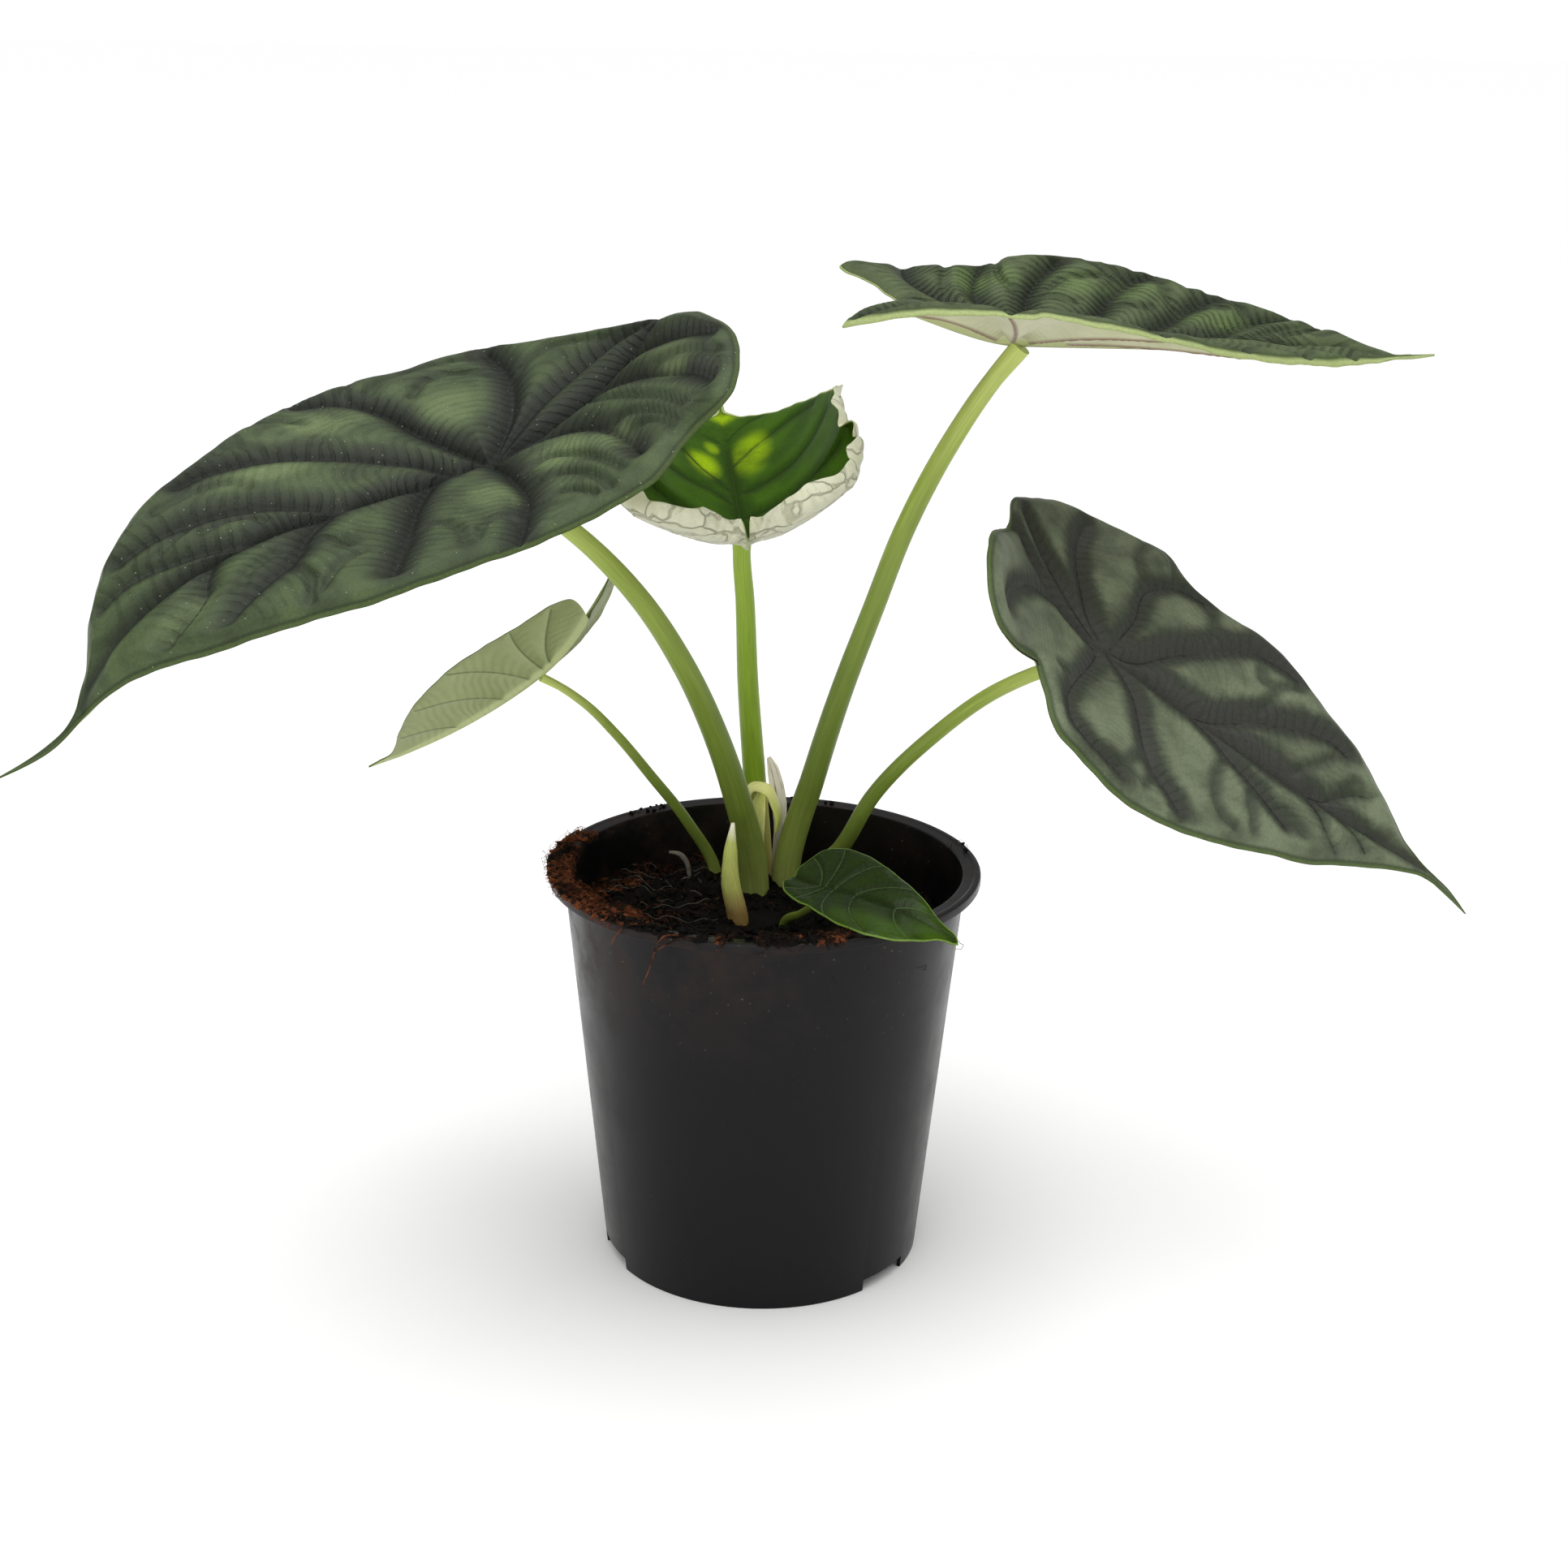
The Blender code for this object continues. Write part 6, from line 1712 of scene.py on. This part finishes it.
def fibre_tree(material):
    """Scatter thin bent fibres over a surface, lying nearly flat."""
    tree, start, end = new_tree("fibres", {"Per Area": 1.0, "Shortest": 0.003, "Longest": 0.01,
                                           "Thickness": 0.012, "Tilt": 0.35, "Seed": SEED, "Skin": material})
    arc = add(tree, "GeometryNodeCurveArc", {"Resolution": 7, "Radius": 0.42, "Sweep Angle": 2.4},
              mode="RADIUS")
    wave = add(tree, "ShaderNodeTexNoise", {"Scale": 2.6, "Detail": 1.0})
    bend = add(tree, "ShaderNodeVectorMath", {0: wave.outputs["Color"], 1: (0.5, 0.5, 0.5)},
               operation="SUBTRACT")
    bend = add(tree, "ShaderNodeVectorMath", {0: bend, "Scale": 0.7}, operation="SCALE")
    bent = add(tree, "GeometryNodeSetPosition", {"Geometry": arc, "Offset": bend})
    ring = add(tree, "GeometryNodeCurvePrimitiveCircle",
               {"Resolution": 3, "Radius": start.outputs["Thickness"]}, mode="RADIUS")
    fibre = add(tree, "GeometryNodeCurveToMesh", {"Curve": bent, "Profile Curve": ring, "Fill Caps": True})
    size = add(tree, "FunctionNodeRandomValue",
               {2: start.outputs["Shortest"], 3: start.outputs["Longest"], "Seed": start.outputs["Seed"]},
               data_type="FLOAT")
    down = add(tree, "ShaderNodeMath", {0: start.outputs["Tilt"], 1: -1.0}, operation="MULTIPLY")
    least = add(tree, "ShaderNodeCombineXYZ", {"X": down, "Y": down, "Z": 0.0})
    most = add(tree, "ShaderNodeCombineXYZ", {"X": start.outputs["Tilt"], "Y": start.outputs["Tilt"],
                                              "Z": 2 * math.pi})
    turned = add(tree, "FunctionNodeRandomValue",
                 {0: least, 1: most, "Seed": SEED + 5}, data_type="FLOAT_VECTOR")
    strew(tree, start, end, fibre, turned, size.outputs[1])
    return tree


def scatter_soil(peat_skin, coir_skin):
    """Strew crumbs and coir over the soil, the left bank and the front rim."""
    crumbs = crumb_tree(peat_skin)
    fibres = fibre_tree(coir_skin)
    pieces = (
        ("peat_crumbs", crumbs, WHOLE_TOP, {"Per Area": 170000.0, "Smallest": 0.0008,
                                                     "Largest": 0.0030, "Stretch": 1.6}),
        ("rim_crumbs", crumbs, RIM_SPILL, {"Per Area": 1000000.0, "Smallest": 0.0005, "Largest": 0.0022,
                                           "Stretch": 1.8}),
        ("peat_fibres", fibres, WHOLE_TOP, {"Per Area": 70000.0, "Shortest": 0.003,
                                                     "Longest": 0.009}),
        ("coir_fibres", fibres, COIR_SPOTS, {"Per Area": 2200000.0, "Shortest": 0.002, "Longest": 0.006,
                                             "Tilt": 1.0}),
        ("coir_crumbs", crumbs, COIR_SPOTS, {"Per Area": 1100000.0, "Smallest": 0.0005, "Largest": 0.0016,
                                             "Stretch": 2.6, "Skin": coir_skin}),
        ("wall_coir", fibres, WALL_COIR, {"Per Area": 600000.0, "Shortest": 0.002, "Longest": 0.006,
                                          "Tilt": 1.2}),
        ("far_crumbs", crumbs, FAR_SPILL, {"Per Area": 160000.0, "Smallest": 0.0005, "Largest": 0.0016,
                                           "Stretch": 1.8}),
    )
    for name, tree, spots, sizes in pieces:
        settle(grown(name, ground_patch("patch", spots), tree, **sizes), "peat")


def strand(name, tree, path, radii, slot, skin, nodes=(), sides=STALK_SIDES, depth=1.0, steps=STEM_STEPS):
    """Sweep a stem or thread along a path, in steps from point to point. A depth under 1 flattens it."""
    line = smooth_curve(path, steps)
    widths = np.interp(np.linspace(0, len(radii) - 1, len(line)), np.arange(len(radii)), radii)
    source = path_object("path", line, widths)
    settle(grown(name, source, tree, Sides=sides, Depth=depth, Skin=skin), slot, *nodes)


def make_roots(tree, thread_skin, fibre_skin):
    """Lay pale root threads over the soil, let coir fibres hang over the rim and add the sprout."""
    for number, path in enumerate(ROOT_THREADS):
        line = smooth_curve(path, THREAD_STEPS)
        high = soil_height(line[:, 0], line[:, 1]) + THREAD_LIFT
        strand(f"root_thread_{number}", tree, np.column_stack([line, high]), (THREAD_RADIUS, THREAD_RADIUS),
               "peat", thread_skin, sides=THREAD_SIDES, steps=1)
    for number, path in enumerate(HANGING_FIBRES):
        strand(f"hanging_coir_{number}", tree, path, HANGING_RADII, "peat", fibre_skin, sides=THREAD_SIDES)
    strand("sprout", tree, SPROUT_PATH, SPROUT_RADII, "cream_sheath", thread_skin, sides=SPROUT_SIDES)


def rooted(path):
    """Carry a strand's path down from the soil's level into its hole."""
    return [np.asarray(path[0], float) - (0.0, 0.0, STEM_DEPTH), *path]


def make_floor(material):
    """Lay a floor so wide that its far edge meets the sky at the horizon."""
    points = [(-FLOOR_REACH, -FLOOR_REACH, 0), (FLOOR_REACH, -FLOOR_REACH, 0), (FLOOR_REACH, FLOOR_REACH, 0),
              (-FLOOR_REACH, FLOOR_REACH, 0)]
    floor = add_piece("studio_floor", fill_mesh("studio_floor", points, [(0, 1, 2, 3)], [material]))


def make_light(name, place_at, target, size, power):
    """Hang a square soft box that looks at a point. Places are in metres."""
    data = bpy.data.lights.new(name, "AREA")
    data.size = size
    data.energy = power
    lamp = bpy.data.objects.new(name, data)
    lamp.location = place_at
    lamp.rotation_euler = (Vector(target) - Vector(place_at)).to_track_quat("-Z", "Y").to_euler()
    bpy.context.scene.collection.objects.link(lamp)


def make_sky():
    """Surround the scene with a white studio: even along the horizon, dimmer above, brightest overhead."""
    world = bpy.data.worlds.new("studio")
    world.use_nodes = True
    tree = world.node_tree
    ahead = add(tree, "ShaderNodeTexCoord").outputs["Generated"]
    height = add(tree, "ShaderNodeSeparateXYZ", {0: ahead}).outputs["Z"]
    ramp = add(tree, "ShaderNodeValToRGB", {"Fac": height})
    set_stops(ramp, [(at, (grey, grey, grey, 1.0)) for at, grey in SKY])
    tree.links.new(ramp.outputs["Color"], tree.nodes["Background"].inputs["Color"])
    tree.nodes["Background"].inputs["Strength"].default_value = SKY_STRENGTH
    bpy.context.scene.world = world


def main():
    """Build the pieces, the studio round them and the camera."""
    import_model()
    skins = {"dark_leaf": dark_leaf(), "silver_leaf": silver_leaf(), "ribbed_leaf": ribbed_leaf(),
             "backlit_leaf": backlit_leaf(), "olive_leaf": olive_leaf(), "young_leaf": young_leaf(),
             "pale_underside": pale_underside(), "sage_underside": sage_underside(),
             "crinkled_underside": crinkled_underside()}
    for sheet in SHEETS:
        make_blade(sheet, [skins[sheet.upper], skins[sheet.under]])
    stalk = stalk_skin()
    stems = stalk_tree(stalk)
    make_stalks(stems, stalk, back_stalk_skin())
    sheath = sheath_skin()
    strand("fine_shoot", stems, rooted(SHOOT_PATH), SHOOT_RADII[:1] + SHOOT_RADII, "cream_sheath",
           spear_skin(), ("shoot",))
    strand("fine_sheath_pale", stems, rooted(PALE_SHEATH_PATH), PALE_SHEATH_RADII[:1] + PALE_SHEATH_RADII,
           "cream_sheath", sheath, ("sheath_pale",), depth=PALE_SHEATH_DEPTH)
    strand("fine_sheath_fold", stems, PALE_FOLD_PATH, PALE_FOLD_RADII, "cream_sheath", sheath,
           depth=PALE_FOLD_DEPTH)
    strand("fine_sheath_dry", stems, rooted(DRY_SHEATH_PATH), DRY_SHEATH_RADII[:1] + DRY_SHEATH_RADII,
           "straw_sheath", dry_sheath_skin(), ("sheath_dry",), depth=DRY_SHEATH_DEPTH)
    make_pot(pot_plastic())
    peat_skin = peat()
    coir_skin = coir()
    make_soil(peat_skin)
    scatter_soil(peat_skin, coir_skin)
    make_roots(stems, root_hair(), coir_skin)
    make_camera()
    make_floor(studio_floor())
    make_sky()
    for light in LIGHTS:
        make_light(*light)
    bpy.context.scene.view_settings.view_transform = "Standard"
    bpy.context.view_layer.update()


main()
